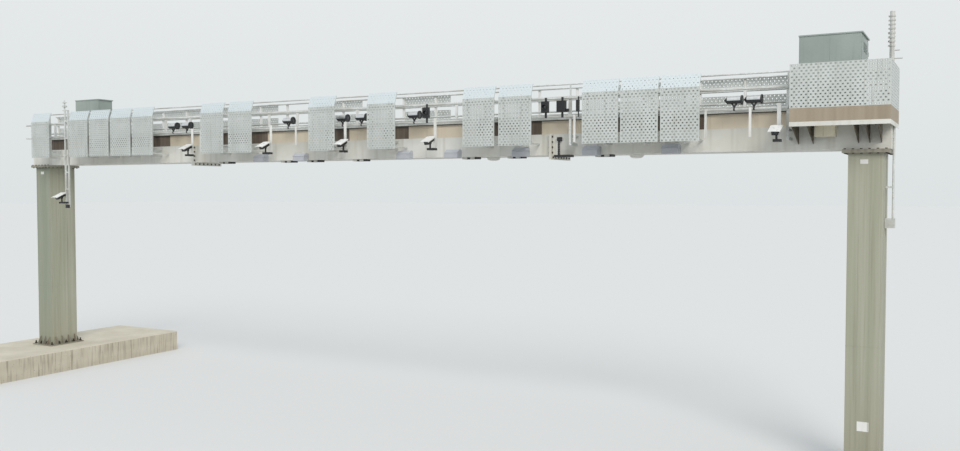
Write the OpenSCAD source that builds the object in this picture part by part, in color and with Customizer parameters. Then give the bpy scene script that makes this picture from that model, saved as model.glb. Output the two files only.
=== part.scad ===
// Free-flow toll gantry over a dual carriageway: two box columns, a spliced box beam with a
// walkway on it, perforated shrouds and roadside equipment on the side that faces traffic.
// Millimetres. X runs along the beam, -Y faces the traffic, Z is up from the road surface,
// and the origin is on the ground under the left column's centre.

/* [Portal] */
// Distance between the column centres
span = 28660; // [28000:10:36000]
// Height of the beam's underside above the road
clearance = 7520; // [6000:10:9500]

/* [Columns] */
// Width of a column along the beam
column_w = 750; // [600:10:1000]
// Depth of a column along the road
column_d = 1080; // [800:10:1400]
// Plate thickness of a column
column_t = 16; // [10:1:30]
// Height of the weld seam across a column, above the ground
column_seam_z = 3000; // [2000:10:5000]

/* [Beam] */
// Height of the box beam
beam_h = 560; // [450:10:800]
// Depth of the box beam along the road
beam_d = 1080; // [800:10:1400]
// Plate thickness of the beam
beam_t = 14; // [8:1:30]
// Length of beam past each column centre
beam_overrun = 520; // [510:10:900]
// Distance of each splice from its column's centre
splice_in = 7800; // [5000:50:11000]
// Thickness of one splice end plate
splice_t = 35; // [20:1:60]
// How far the splice plates stand out from the beam
splice_lip = 110; // [80:5:160]

/* [Feet] */
// Height of the concrete plinth under the left column
plinth_h = 760; // [400:10:1500]
// Width of the plinth along the beam
plinth_w = 3450; // [2000:50:5000]
// Length of the plinth along the road
plinth_l = 8600; // [4000:100:12000]
// Chamfer along the plinth's long top edges
plinth_chamfer = 25; // [5:1:60]
// Thickness of a base plate
base_t = 45; // [25:1:80]
// How far a base plate stands out from its column
base_lip = 160; // [130:5:250]
// Height of the ribs at a column's foot
rib_h = 280; // [150:10:450]
// Thickness of a head plate under the beam
head_t = 42; // [25:1:60]
// How far a head plate stands out from its column
head_lip = 125; // [100:5:180]
// Diameter of an anchor stud
stud_d = 48; // [30:1:70]
// Diameter of a flange bolt
bolt_d = 30; // [20:1:40]

/* [Walkway] */
// Thickness of the grating and of the platform's floor
deck_t = 40; // [25:1:60]
// Longest length of one grating panel
grating_l = 1500; // [600:10:3000]
// Height of the toe-board above the beam
toe_h = 350; // [200:5:450]
// Thickness of the toe-board
toe_t = 8; // [4:1:20]
// Height of the handrail above the beam
guard_h = 1340; // [1200:10:1600]
// Height of the front guard above the beam
front_guard_h = 1000; // [900:10:1150]
// Diameter of a rail
rail_d = 48; // [34:1:60]
// Width of a guard post
post_w = 60; // [40:1:80]
// Longest distance between guard posts
post_pitch = 1150; // [900:10:2500]
// Thickness of the perforated panels
panel_t = 4; // [3:1:10]
// Height of the cable trunking over the front toe-board
trunk_h = 130; // [60:5:160]
// Depth of the cable trunking
trunk_d = 90; // [50:5:150]

/* [Shrouds] */
// Width of one shroud sheet
shroud_w = 960; // [700:10:1200]
// Distance of the sheet in front of the beam
shroud_out = 850; // [700:10:1100]
// Height of the shroud's lower edge above the beam's underside
shroud_low = 240; // [100:10:400]
// Height of the upright part of the sheet
shroud_h = 1290; // [1100:10:1600]
// Height of the part that leans back
shroud_lean_h = 310; // [150:10:500]
// How far the top leans back
shroud_lean = 107; // [40:1:200]
// Thickness of the folded sheet
shroud_t = 4; // [3:1:10]
// Depth of the flanges down the sheet's sides
shroud_flange = 30; // [15:1:60]
// Diameter of a punched hole
hole_d = 42; // [20:1:60]
// Distance between holes in a row, and to the holes of the next row
hole_pitch = 92; // [70:1:150]
// Plain margin round the punched field
hole_margin = 34; // [20:1:80]

/* [Equipment] */
// Diameter of the two tubes that carry the equipment
tube_d = 60; // [40:1:80]
// Distance of the tubes in front of the beam
tube_out = 480; // [400:10:600]
// Height of the lower tube above the beam
lower_tube = 420; // [380:10:500]
// Height of the upper tube above the beam
upper_tube = 890; // [840:10:1000]
// Clearance between a tube and what is clamped to it
tube_fit = 0.3; // [0.1:0.1:1]
// Diameter of a long camera's barrel
barrel_d = 170; // [120:5:200]
// Width of a hooded camera's cover
hood_w = 280; // [220:5:340]
// Downward tilt of the hooded cameras
hood_tilt = 24; // [5:1:35]

/* [Right platform] */
// Length of the platform along the beam
platform_w = 2110; // [2000:10:3000]
// Distance of the platform's front edge before the beam
platform_out = 950; // [800:10:1300]
// Depth of the channel along the platform's edge
platform_edge = 100; // [60:5:160]
// Width of the cabinet on it
cabinet_w = 1360; // [900:10:1400]
// Depth of the cabinet on it
cabinet_d = 1250; // [800:10:1300]
// Height of the cabinet on it
cabinet_h = 2030; // [1500:10:2400]

/* [Hidden] */
$fn = 32;

steel = "#c9c8bd";
tan_board = "#a8937f";
perforated = "#c3cabf";
concrete = "#b9b4a6";
dark = "#26282a";
zinc = "#9aa19c";
white_cover = "#e9eae6";
sensor_blue = "#8f9db0";
cabinet_paint = "#9ba296";

// Levels and planes that the pieces share
beam_top = clearance + beam_h;
beam_x0 = -beam_overrun;
beam_x1 = span + beam_overrun;
beam_front = -beam_d / 2;
beam_rear = beam_d / 2;
splice_x0 = splice_in;
splice_x1 = span - splice_in;
column_top = clearance - 2 * head_t;
floor_top = beam_top + deck_t;
toe_top = beam_top + toe_h;
guard_top = beam_top + guard_h;
front_guard_top = beam_top + front_guard_h;
shroud_z = clearance + shroud_low;
shroud_y = beam_front - shroud_out;
tube_y = beam_front - tube_out;
tube_face = tube_y - tube_d / 2 - tube_fit;
lower_tube_z = beam_top + lower_tube;
upper_tube_z = beam_top + upper_tube;
platform_y = beam_front - platform_out;
platform_x1 = beam_x1 + 70;
platform_x0 = platform_x1 - platform_w;
platform_rear = beam_rear - toe_t;

// Room between two pieces that stand end to end
joint = 2;
// Height that a cut runs past the face it opens
past = 1;

// Groups of shrouds: the centre of the first, how many, and the gap between them
middle = span / 2;
GROUPS = [
    [1030, 1, 0],
    [3070, 4, 106],
    [9410, 2, 220],
    [middle - 540, 1, 0],
    [middle + 1590, 1, 0],
    [span - 9580, 2, 130],
    [span - 6110, 3, 60]
];
function shroud_centres(g) = [for (i = [0 : g[1] - 1]) g[0] + i * (shroud_w + g[2])];
SHROUDS = [for (g = GROUPS) for (x = shroud_centres(g)) x];

// Each bay starts at the last sheet of its group, and what is in it is placed from there
function bay(i, x) = let (g = GROUPS[i]) g[0] + (g[1] - 1) * (shroud_w + g[2]) + shroud_w / 2 + x;

// Each hooded camera: its post, and how far the camera stands to the side of it
CAMERAS = [
    [bay(1, 1480), -60],
    [bay(2, 500), -100],
    [bay(3, 150), 30],
    [bay(4, 1130), -80],
    [bay(6, 1770), -30]
];
// Plain posts, each with the height of its foot over the beam's underside
PLAIN_POSTS = [
    [bay(1, 1850), 330],
    [bay(2, 1490), 450],
    [bay(5, 1080), 310],
    [bay(6, 60), 320],
    [bay(6, 1110), 320]
];
BARRELS = [
    bay(1, 590), bay(1, 1210), bay(2, 1180), bay(3, 40),
    bay(3, 720), bay(4, 420), bay(6, 730), bay(6, 1190)
];
LENS_UNITS = [bay(4, 860), bay(5, 270)];
FLOODS = [bay(5, 740)];
SLIM_LAMPS = [bay(5, 1190)];
STANDS = concat(SHROUDS, [bay(5, 930), bay(6, 1950)]);
SCANNERS = [10800, 12410, middle + 1920, middle + 3540, span - 8660, span - 6620, span - 4500];
SLOTS = [9070, 11690, 12750, middle + 160, middle + 3970, span - 8930, span - 6360];
DOMES = [middle + 4440, span - 5650];
HUNG_SLOT = bay(5, 370);

// A block between two opposite corners
module block(low, high) {
    translate(low) cube(high - low);
}

// A round bar from one X to another
module rail(x0, x1, y, z, d) {
    translate([x0, y, z]) rotate([0, 90, 0]) cylinder(d = d, h = x1 - x0);
}

// A rectangle w by h round the origin, with its corners rounded to r
module rounded_rectangle(w, h, r) {
    square([w - 2 * r, h], center = true);
    square([w, h - 2 * r], center = true);
    for (x = [-1, 1], y = [-1, 1]) translate([x * (w / 2 - r), y * (h / 2 - r)]) circle(r);
}

// Places on a rectangle w by d, with nx and ny spaces along its sides
function ring(w, d, nx, ny) = concat(
    [for (i = [0 : nx], side = [-1, 1]) [w * (i / nx - 0.5), side * d / 2]],
    [for (i = [1 : ny - 1], side = [-1, 1]) [side * w / 2, d * (i / ny - 0.5)]]
);

// Places of staggered holes in a field w by h
row_pitch = hole_pitch * sqrt(3) / 2;
function hole_places(w, h) = let (
    room = 2 * hole_margin + hole_d,
    columns = floor((w - room) / hole_pitch),
    rows = floor((h - room) / row_pitch)
) [for (j = [0 : rows], i = [0 : columns - j % 2])
    [w / 2 + (i + (j % 2) / 2 - columns / 2) * hole_pitch, h / 2 + (j - rows / 2) * row_pitch]];

// A punched sheet w by h with its lower left corner at the origin, t thick towards -Z
module punched_sheet(w, h, t) {
    translate([0, 0, -t]) linear_extrude(t) difference() {
        square([w, h]);
        for (p = hole_places(w, h)) translate(p) circle(d = hole_d);
    }
}

seam_w = 12;
seam_out = 4;
seam_x = column_w / 2 + seam_out;
seam_y = column_d / 2 + seam_out;

// A hollow box section from z0 to z1, with raised weld seams down its faces and one across them
module box_column(z0, z1) {
    h = z1 - z0;
    difference() {
        union() {
            translate([-column_w / 2, -column_d / 2, z0]) cube([column_w, column_d, h]);
            for (x = [-1, 1] * column_w / 6)
                block([x - seam_w / 2, -seam_y, z0], [x + seam_w / 2, seam_y, z1]);
            for (y = [-1, 1] * column_d / 6)
                block([-seam_x, y - seam_w / 2, z0], [seam_x, y + seam_w / 2, z1]);
            block([-seam_x, -seam_y, column_seam_z], [seam_x, seam_y, column_seam_z + seam_w]);
        }
        translate([-column_w / 2 + column_t, -column_d / 2 + column_t, z0 - past])
            cube([column_w - 2 * column_t, column_d - 2 * column_t, h + 2 * past]);
    }
}

// A block of concrete with bevelled long edges and joints down its road side
module left_plinth() {
    joint_w = 12;
    c = plinth_chamfer;
    color(concrete) difference() {
        translate([0, plinth_l / 2, 0]) rotate([90, 0, 0]) linear_extrude(plinth_l) polygon([
            [-plinth_w / 2, 0], [plinth_w / 2, 0], [plinth_w / 2, plinth_h - c],
            [plinth_w / 2 - c, plinth_h], [c - plinth_w / 2, plinth_h], [-plinth_w / 2, plinth_h - c]
        ]);
        for (y = [-1, 1] * plinth_l / 6)
            translate([plinth_w / 2 - joint_w, y, -past])
                cube([2 * joint_w, joint_w, plinth_h + 2 * past]);
    }
}

module base_plate(z) {
    translate([0, 0, z + base_t / 2])
        cube([column_w + 2 * base_lip, column_d + 2 * base_lip, base_t], center = true);
}

module base_plates() {
    color(steel) {
        base_plate(plinth_h);
        translate([span, 0, 0]) base_plate(0);
    }
}

// Places of the studs round a column, midway between the ribs
function stud_places() = ring(column_w + base_lip, column_d + base_lip, 3, 4);

// One tapered rib that stands out along +X from the origin
module rib(reach, h, t) {
    translate([0, t / 2, 0]) rotate([90, 0, 0])
        linear_extrude(t) polygon([[0, 0], [reach, 0], [reach, h / 5], [reach / 4, h], [0, h]]);
}

module foot_ribs() {
    t = 20;
    reach = base_lip - 10;
    for (i = [-1 : 1], side = [-1, 1])
        translate([column_w * i / 3, side * column_d / 2, 0])
            rotate(side * 90) rib(reach, rib_h, t);
    for (i = [-1.5 : 1.5], side = [-1, 1])
        translate([side * column_w / 2, column_d * i / 4, 0])
            rotate(side > 0 ? 0 : 180) rib(reach, rib_h, t);
}

module base_ribs() {
    color(steel) {
        translate([0, 0, plinth_h + base_t]) foot_ribs();
        translate([span, 0, base_t]) foot_ribs();
    }
}

// A washer, a nut and the stud's end that stand up from the origin
module stud() {
    washer_t = 8;
    nut_h = stud_d * 0.8;
    cylinder(d = stud_d * 2, h = washer_t);
    cylinder(d = stud_d * 1.7, h = washer_t + nut_h, $fn = 6);
    cylinder(d = stud_d, h = stud_d * 2.2);
}

module anchor_bolts() {
    color(dark) for (foot = [[0, plinth_h + base_t], [span, base_t]])
        translate([foot[0], 0, foot[1]])
            for (p = stud_places()) translate(p) stud();
}

module left_column() {
    color(steel) box_column(plinth_h + base_t, column_top);
}

module right_column() {
    color(steel) translate([span, 0, 0]) box_column(base_t, column_top);
}

// A plate of the flange between a column and the beam, with its underside at z
module head_plate(z) {
    for (x = [0, span])
        translate([x, 0, z + head_t / 2])
            cube([column_w + 2 * head_lip, column_d + 2 * head_lip, head_t], center = true);
}

module column_head_plates() {
    color(steel) head_plate(column_top);
}

module beam_foot_plates() {
    color(steel) head_plate(column_top + head_t);
}

// A hexagonal head or nut on the origin
nut_h = bolt_d * 0.65;
module hexagon() {
    cylinder(d = bolt_d * 1.8, h = nut_h, $fn = 6);
}

// Heads all round under the flange, and nuts on its lip before and behind the beam
module head_bolts() {
    w = column_w + head_lip;
    d = column_d + head_lip;
    spaces = 5;
    color(dark) for (x = [0, span]) translate([x, 0, 0]) {
        for (p = ring(w, d, spaces, 7)) translate([p[0], p[1], column_top - nut_h]) hexagon();
        for (i = [0 : spaces], side = [-1, 1])
            translate([w * (i / spaces - 0.5), side * (d + head_lip / 2) / 2, clearance]) hexagon();
    }
}

// A length of the box beam, closed or with a splice plate at each end
module beam_length(x0, x1, splice_at_0, splice_at_1) {
    difference() {
        union() {
            block([x0, beam_front, clearance], [x1, beam_rear, beam_top]);
            if (splice_at_0) splice_plate(x0);
            if (splice_at_1) splice_plate(x1 - splice_t);
        }
        block(
            [x0 + (splice_at_0 ? -past : beam_t), beam_front + beam_t, clearance + beam_t],
            [x1 - (splice_at_1 ? -past : beam_t), beam_rear - beam_t, beam_top - beam_t]
        );
    }
}

// The end plate of a splice stands out at the front, the rear and below
module splice_plate(x) {
    block(
        [x, beam_front - splice_lip, clearance - splice_lip],
        [x + splice_t, beam_rear + splice_lip, beam_top]
    );
}

module left_beam() {
    color(steel) beam_length(beam_x0, splice_x0, false, true);
}

module middle_beam() {
    color(steel) beam_length(splice_x0, splice_x1, true, true);
}

module right_beam() {
    color(steel) beam_length(splice_x1, beam_x1, true, false);
}

// Heads on both faces of each splice, in a row round its lip
module splice_bolts() {
    rows = [for (y = [beam_front - splice_lip / 2, beam_rear + splice_lip / 2], i = [0 : 3])
        [y, clearance + beam_h * (i + 0.5) / 4]];
    low = [for (i = [0 : 6]) [beam_d * (i / 6 - 0.5), clearance - splice_lip / 2]];
    color(dark) for (x = [splice_x0, splice_x1], face = [-1, 1], p = concat(rows, low))
        translate([x + face * splice_t + (face < 0 ? -nut_h : 0), p[0], p[1]])
            rotate([0, 90, 0]) hexagon();
}

// Even divisions between two ends, none longer than a given pitch
function even_places(x0, x1, pitch) = let (n = ceil((x1 - x0) / pitch))
    [for (i = [0 : n]) x0 + (x1 - x0) * i / n];

// Grating laid in panels, end to end
module walkway_grating() {
    edge = 5;
    ends = even_places(beam_x0 + toe_t + edge, platform_x0 - edge, grating_l);
    color(zinc) for (i = [0 : len(ends) - 2])
        block([ends[i] + joint / 2, beam_front + toe_t + edge, beam_top],
              [ends[i + 1] - joint / 2, beam_rear - toe_t - edge, floor_top]);
}

module toe_boards() {
    corner = toe_t + joint;
    color(tan_board) {
        block([beam_x0, beam_front, beam_top], [platform_x0, beam_front + toe_t, toe_top]);
        block([beam_x0, beam_rear - toe_t, beam_top], [beam_x1, beam_rear, toe_top]);
        block([beam_x0, beam_front + corner, beam_top], [beam_x0 + toe_t, beam_rear - corner, toe_top]);
        block([platform_x0, platform_y, floor_top], [platform_x1, platform_y + toe_t, toe_top]);
        y0 = platform_y + corner;
        block([platform_x1 - toe_t, y0, floor_top], [platform_x1, platform_rear, toe_top]);
        block([platform_x0, y0, floor_top], [platform_x0 + toe_t, beam_front, toe_top]);
    }
}

first_post = beam_x0 + toe_t + post_w;
REAR_POSTS = even_places(first_post, beam_x1 - post_w, post_pitch);
FRONT_POSTS = even_places(first_post, platform_x0 - post_w, post_pitch);
rear_post_y = beam_rear - toe_t - post_w / 2;
front_post_y = beam_front + toe_t + post_w / 2;

module guard_post(x, y, top) {
    block([x - post_w / 2, y - post_w / 2, floor_top], [x + post_w / 2, y + post_w / 2, top]);
}

module guard_posts() {
    color(white_cover) {
        for (x = REAR_POSTS) guard_post(x, rear_post_y, guard_top);
        for (x = FRONT_POSTS) guard_post(x, front_post_y, front_guard_top);
    }
}

// Three rails at the back and two at the front, on the inner faces of the posts
rear_rail_y = rear_post_y - post_w / 2 - rail_d / 2;
front_rail_y = front_post_y + post_w / 2 + rail_d / 2;
knee_rail_z = beam_top + 600;

module guard_rails() {
    color(zinc) {
        for (z = [guard_top - rail_d / 2, front_guard_top, knee_rail_z])
            rail(beam_x0 + toe_t, beam_x1, rear_rail_y, z, rail_d);
        for (z = [front_guard_top - rail_d / 2, knee_rail_z])
            rail(beam_x0 + toe_t, platform_x0, front_rail_y, z, rail_d);
    }
}

// Trunking with a lid, in lengths, on the outer faces of the front posts
module cable_trunking() {
    lid_t = 14;
    lid_over = 5;
    above = 20;
    y1 = beam_front + toe_t;
    y0 = y1 - trunk_d;
    z0 = toe_top + above;
    ends = even_places(beam_x0 + toe_t, platform_x0 - toe_t, 3000);
    color(zinc) for (i = [0 : len(ends) - 2]) {
        x0 = ends[i] + joint;
        x1 = ends[i + 1] - joint;
        block([x0, y0, z0], [x1, y1, z0 + trunk_h]);
        block([x0, y0 - lid_over, z0 + trunk_h - lid_t], [x1, y1, z0 + trunk_h]);
    }
}

// Two bands of perforated panel behind the rear posts
module rear_panels(x0, x1) {
    bands = [[knee_rail_z, beam_top + 890], [beam_top + 1100, guard_top - 20]];
    y = rear_post_y + post_w / 2;
    color(perforated) for (band = bands)
        block([x0, y, band[0]], [x1, y + panel_t, band[1]]);
}

panel_gap = 20;

module rear_panels_left() {
    rear_panels(beam_x0 + toe_t, splice_x0 - panel_gap / 2);
}

module rear_panels_middle() {
    rear_panels(splice_x0 + panel_gap / 2, splice_x1 - panel_gap / 2);
}

module rear_panels_right() {
    rear_panels(splice_x1 + panel_gap / 2, beam_x1);
}

// A punched sheet, upright and then leaning back, with a flange down each side
shroud_lean_angle = atan(shroud_lean / shroud_lean_h);
shroud_lean_l = shroud_lean_h / cos(shroud_lean_angle);
shroud_frame_y = shroud_y + shroud_flange;

module shroud(x) {
    f = shroud_flange;
    translate([x - shroud_w / 2, shroud_y, shroud_z]) {
        rotate([90, 0, 0]) punched_sheet(shroud_w, shroud_h, shroud_t);
        translate([0, 0, shroud_h]) rotate([90 - shroud_lean_angle, 0, 0])
            punched_sheet(shroud_w, shroud_lean_l, shroud_t);
        for (edge = [0, shroud_w - shroud_t])
            translate([edge, 0, 0]) rotate([90, 0, 90]) linear_extrude(shroud_t) polygon([
                [0, 0], [0, shroud_h], [shroud_lean, shroud_h + shroud_lean_h],
                [shroud_lean + f, shroud_h + shroud_lean_h], [f, shroud_h], [f, 0]
            ]);
    }
}

module shroud_group(i) {
    color(perforated) for (x = shroud_centres(GROUPS[i])) shroud(x);
}

// Behind each sheet two cross bars on its flanges, two uprights, and arms to the beam and the upper tube
module shroud_frames() {
    bar = 40;
    inset = 150;
    y0 = shroud_frame_y;
    y1 = y0 + bar;
    arm_z = [clearance + beam_h / 2, upper_tube_z - bar / 2];
    color(zinc) for (x = SHROUDS) {
        for (z = [shroud_z + 60, shroud_z + shroud_h - 60 - bar])
            block([x - shroud_w / 2, y0, z], [x + shroud_w / 2, y1, z + bar]);
        for (side = [-1, 1]) {
            x0 = x + side * (shroud_w / 2 - inset) - bar / 2;
            x1 = x0 + bar;
            block([x0, y0, shroud_z + 40], [x1, y1, shroud_z + shroud_h - 20]);
            block([x0, y0, arm_z[0]], [x1, beam_front, arm_z[0] + bar]);
            block([x0, y0, arm_z[1]], [x1, tube_face, arm_z[1] + bar]);
        }
    }
}

// Two tubes along the beam that carry the equipment
module equipment_tubes() {
    color(zinc) for (z = [lower_tube_z, upper_tube_z])
        rail(beam_x0 + 300, platform_x0 - 100, tube_y, z, tube_d);
}

// A band round a tube that runs along X through the origin, and the bore inside it
clamp_t = 6;
clamp_w = 40;

module clamp_band() {
    rail(-clamp_w / 2, clamp_w / 2, 0, 0, tube_d + 2 * (tube_fit + clamp_t));
}

module clamp_bore() {
    rail(-clamp_w, clamp_w, 0, 0, tube_d + 2 * tube_fit);
}

// Brackets off the beam's front face, with a saddle and a band for each tube
module tube_stand() {
    w = 60;
    saddle = 5;
    y0 = tube_y + tube_d / 2 - saddle;
    low = clearance + 230;
    difference() {
        union() {
            block([-w / 2, y0, low], [w / 2, y0 + w, upper_tube_z + w]);
            for (z = [low, beam_top - 2 * w]) block([-w / 2, y0, z], [w / 2, beam_front, z + w]);
            for (z = [lower_tube_z, upper_tube_z]) translate([0, tube_y, z]) clamp_band();
        }
        for (z = [lower_tube_z, upper_tube_z]) translate([0, tube_y, z]) clamp_bore();
    }
}

module tube_stands() {
    color(zinc) for (x = STANDS) translate([x, 0, 0]) tube_stand();
}

// Flat posts on the front of the tubes: those with a camera, the plain ones, and one for the hung sensor
carrier_t = 12;
carrier_w = 60;
carrier_y = tube_face - carrier_t;
camera_foot = 180;

module flat_post(x, face_y, w, low, high) {
    block([x - w / 2, face_y - carrier_t, low], [x + w / 2, face_y, high]);
}

module carrier_posts() {
    camera_post_w = 90;
    camera_post_over = 70;
    top = lower_tube_z + tube_d / 2;
    color(white_cover) {
        for (c = CAMERAS)
            flat_post(c[0], tube_face, camera_post_w, clearance + camera_foot, top + camera_post_over);
        for (p = PLAIN_POSTS) flat_post(p[0], tube_face, carrier_w, clearance + p[1], top);
        flat_post(HUNG_SLOT, beam_front, carrier_w, clearance - hung_drop, beam_top - beam_h / 5);
    }
}

// A long camera over the lower tube: a clamp, a forked leg, the barrel and its round front plate
module barrel_camera() {
    rise = 215;
    len = 330;
    leg_t = 30;
    difference() {
        union() {
            clamp_band();
            translate([0, leg_t / 2, 0]) rotate([90, 0, 0]) linear_extrude(leg_t) polygon([
                [-20, 0], [20, 0], [20, 50], [100, rise - 40], [55, rise - 40],
                [0, 85], [-55, rise - 40], [-100, rise - 40], [-20, 50]
            ]);
            translate([-len / 2, 0, rise]) rotate([0, 90, 0]) {
                cylinder(d = barrel_d, h = len);
                translate([0, 0, -40]) cylinder(d1 = barrel_d * 0.6, d2 = barrel_d, h = 40);
                translate([0, 0, -70]) cylinder(d = barrel_d * 0.25, h = 40);
                translate([0, 0, len]) cylinder(d = barrel_d + 60, h = 28);
                translate([0, 0, len / 3]) cylinder(d = barrel_d + 10, h = 20);
            }
        }
        clamp_bore();
        translate([len / 2 + 18, 0, rise]) rotate([0, 90, 0]) cylinder(d = barrel_d - 30, h = 28);
    }
}

module barrel_cameras() {
    color(dark) for (x = BARRELS) translate([x, tube_y, lower_tube_z]) barrel_camera();
}

// A hooded camera on its tilt head. The origin is on the front of its post, at the post's foot.
camera_w = 150;
camera_h = 120;
camera_l = 320;
head_out = 130;
head_up = 200;
cover_gap = 14;

// What is placed in the camera's own tilted frame, where -Y is the way that it looks
module camera_tilt() {
    translate([0, -head_out, head_up]) rotate([hood_tilt, 0, 0]) children();
}

module hooded_camera(side) {
    foot_h = 60;
    foot_half = 70;
    neck_d = 50;
    block([min(side, 0) - foot_half, -head_out - foot_half, 0], [max(side, 0) + foot_half, 0, foot_h]);
    translate([side, -head_out, 0]) cylinder(d = neck_d, h = head_up);
    translate([side, 0, 0]) camera_tilt() {
        sphere(d = 80);
        difference() {
            translate([0, camera_l * 0.4, camera_h / 2 + 20]) rotate([90, 0, 0])
                linear_extrude(camera_l) rounded_rectangle(camera_w, camera_h, 15);
            translate([0, -camera_l * 0.6 + 12, camera_h / 2 + 20]) rotate([90, 0, 0])
                linear_extrude(40) rounded_rectangle(camera_w - 30, camera_h - 30, 10);
        }
        for (x = [-1, 1] * camera_w / 4, y = [-0.4, 0.25] * camera_l)
            translate([x, y, camera_h]) cylinder(d = 14, h = 20 + cover_gap);
    }
}

// The cover's folded sheet: a flat top with a skirt down each side
module camera_cover() {
    t = 3;
    skirt = 65;
    cover_l = 430;
    top = camera_h + 20 + cover_gap;
    camera_tilt() translate([0, camera_l * 0.4, top]) rotate([90, 0, 0]) linear_extrude(cover_l) {
        translate([-hood_w / 2, 0]) square([hood_w, t]);
        for (x = [-hood_w / 2, hood_w / 2 - t]) translate([x, t - skirt]) square([t, skirt]);
    }
}

module hooded_cameras() {
    color(dark) for (c = CAMERAS)
        translate([c[0], carrier_y, clearance + camera_foot]) hooded_camera(c[1]);
}

module camera_covers() {
    color(white_cover) {
        for (c = CAMERAS) translate([c[0] + c[1], carrier_y, clearance + camera_foot]) camera_cover();
        translate([drop_x + drop_side, shroud_y, drop_low + drop_foot]) camera_cover();
    }
}

// A strap on the front of both tubes, to which a lamp is fixed
strap_t = 8;
strap_w = 60;

module strap(w) {
    over = tube_d / 2;
    block([-w / 2, tube_face - strap_t, lower_tube_z - over], [w / 2, tube_face, upper_tube_z + over]);
}

lamp_z = lower_tube_z + 110;
lamp_h = 290;

// A lamp housing with cooling slots across its face, and its driver box beside it
module louvred_lamp() {
    w = 240;
    d = 110;
    slots = 7;
    slot_in = 15;
    slot_depth = 12;
    driver_w = 75;
    driver_h = 80;
    y1 = tube_face - strap_t;
    strap(strap_w);
    difference() {
        block([-w / 2, y1 - d, lamp_z], [w / 2, y1, lamp_z + lamp_h]);
        for (i = [0 : slots - 1])
            translate([slot_in - w / 2, y1 - d - past, lamp_z + lamp_h * (i + 0.7) / (slots + 0.8)])
                cube([w - 2 * slot_in, slot_depth, lamp_h / slots / 2]);
    }
    block([w / 2, y1 - d / 2, lamp_z], [w / 2 + driver_w, y1, lamp_z + driver_h]);
}

module slim_lamp() {
    w = 70;
    d = 90;
    y1 = tube_face - strap_t;
    strap(strap_w / 2);
    block([-w / 2, y1 - d, lamp_z], [w / 2, y1, lamp_z + lamp_h]);
}

// A square housing with a round, recessed lens in a raised bezel
module lens_unit() {
    w = 200;
    d = 90;
    bezel_d = 150;
    bezel_out = 30;
    recess = 50;
    y1 = tube_face - strap_t;
    strap(strap_w);
    difference() {
        union() {
            block([-w / 2, y1 - d, lamp_z], [w / 2, y1, lamp_z + lamp_h]);
            translate([0, y1 - d, lamp_z + lamp_h / 2]) rotate([90, 0, 0])
                cylinder(d = bezel_d, h = bezel_out);
        }
        translate([0, y1 - d - bezel_out + recess, lamp_z + lamp_h / 2]) rotate([90, 0, 0])
            cylinder(d = bezel_d - bezel_out, h = recess + past);
    }
}

module floodlights() {
    color(dark) {
        for (x = FLOODS) translate([x, 0, 0]) louvred_lamp();
        for (x = SLIM_LAMPS) translate([x, 0, 0]) slim_lamp();
        for (x = LENS_UNITS) translate([x, 0, 0]) lens_unit();
    }
}

// Rounded housings on the beam's front face at its lower edge, each with a raised window
module scanner_boxes() {
    w = 460;
    d = 240;
    h = 290;
    below = 80;
    color(sensor_blue) for (x = SCANNERS)
        translate([x, beam_front, clearance - below + h / 2]) rotate([90, 0, 0]) {
            linear_extrude(d) rounded_rectangle(w, h, 45);
            linear_extrude(d + 12) rounded_rectangle(w - 80, h - 90, 30);
        }
}

slot_h = 60;
hung_drop = 70;

// A flat housing, its top at the origin, with a long recess along its underside
module slot_housing() {
    w = 450;
    d = 280;
    difference() {
        translate([-w / 2, -d / 2, -slot_h]) cube([w, d, slot_h]);
        translate([-w / 2 + 30, -d / 8, -slot_h - past]) cube([w - 60, d / 4, 25]);
    }
}

// Housings under the beam, and one hung on its own post with a flexible conduit beside it
module slot_sensors() {
    conduit_d = 44;
    ridge_d = 56;
    ridge_pitch = 60;
    post_half = 30;
    top = beam_top - beam_h / 3;
    x = HUNG_SLOT + post_half + ridge_d / 2;
    y = beam_front - ridge_d / 2;
    low = clearance - hung_drop;
    color(dark) {
        for (s = SLOTS) translate([s, beam_front + 200, clearance]) slot_housing();
        translate([HUNG_SLOT + 255, beam_front - 140, clearance - joint - past]) slot_housing();
        translate([x, y, clearance]) cylinder(d = conduit_d, h = top - clearance);
        for (z = [clearance + 20 : ridge_pitch : top - ridge_pitch])
            translate([x, y, z]) cylinder(d = ridge_d, h = ridge_pitch / 2);
        block([x - ridge_d / 2, beam_front - 90, top], [x + 90, beam_front, top + 100]);
    }
}

// Shallow domes with a rim, under the beam
module dome_sensors() {
    color(white_cover) for (x = DOMES) translate([x, 100, clearance]) rotate_extrude() polygon([
        [0, 0], [200, 0], [200, -20], [185, -22], [170, -60], [130, -85], [70, -95], [0, -98]
    ]);
}

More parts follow.
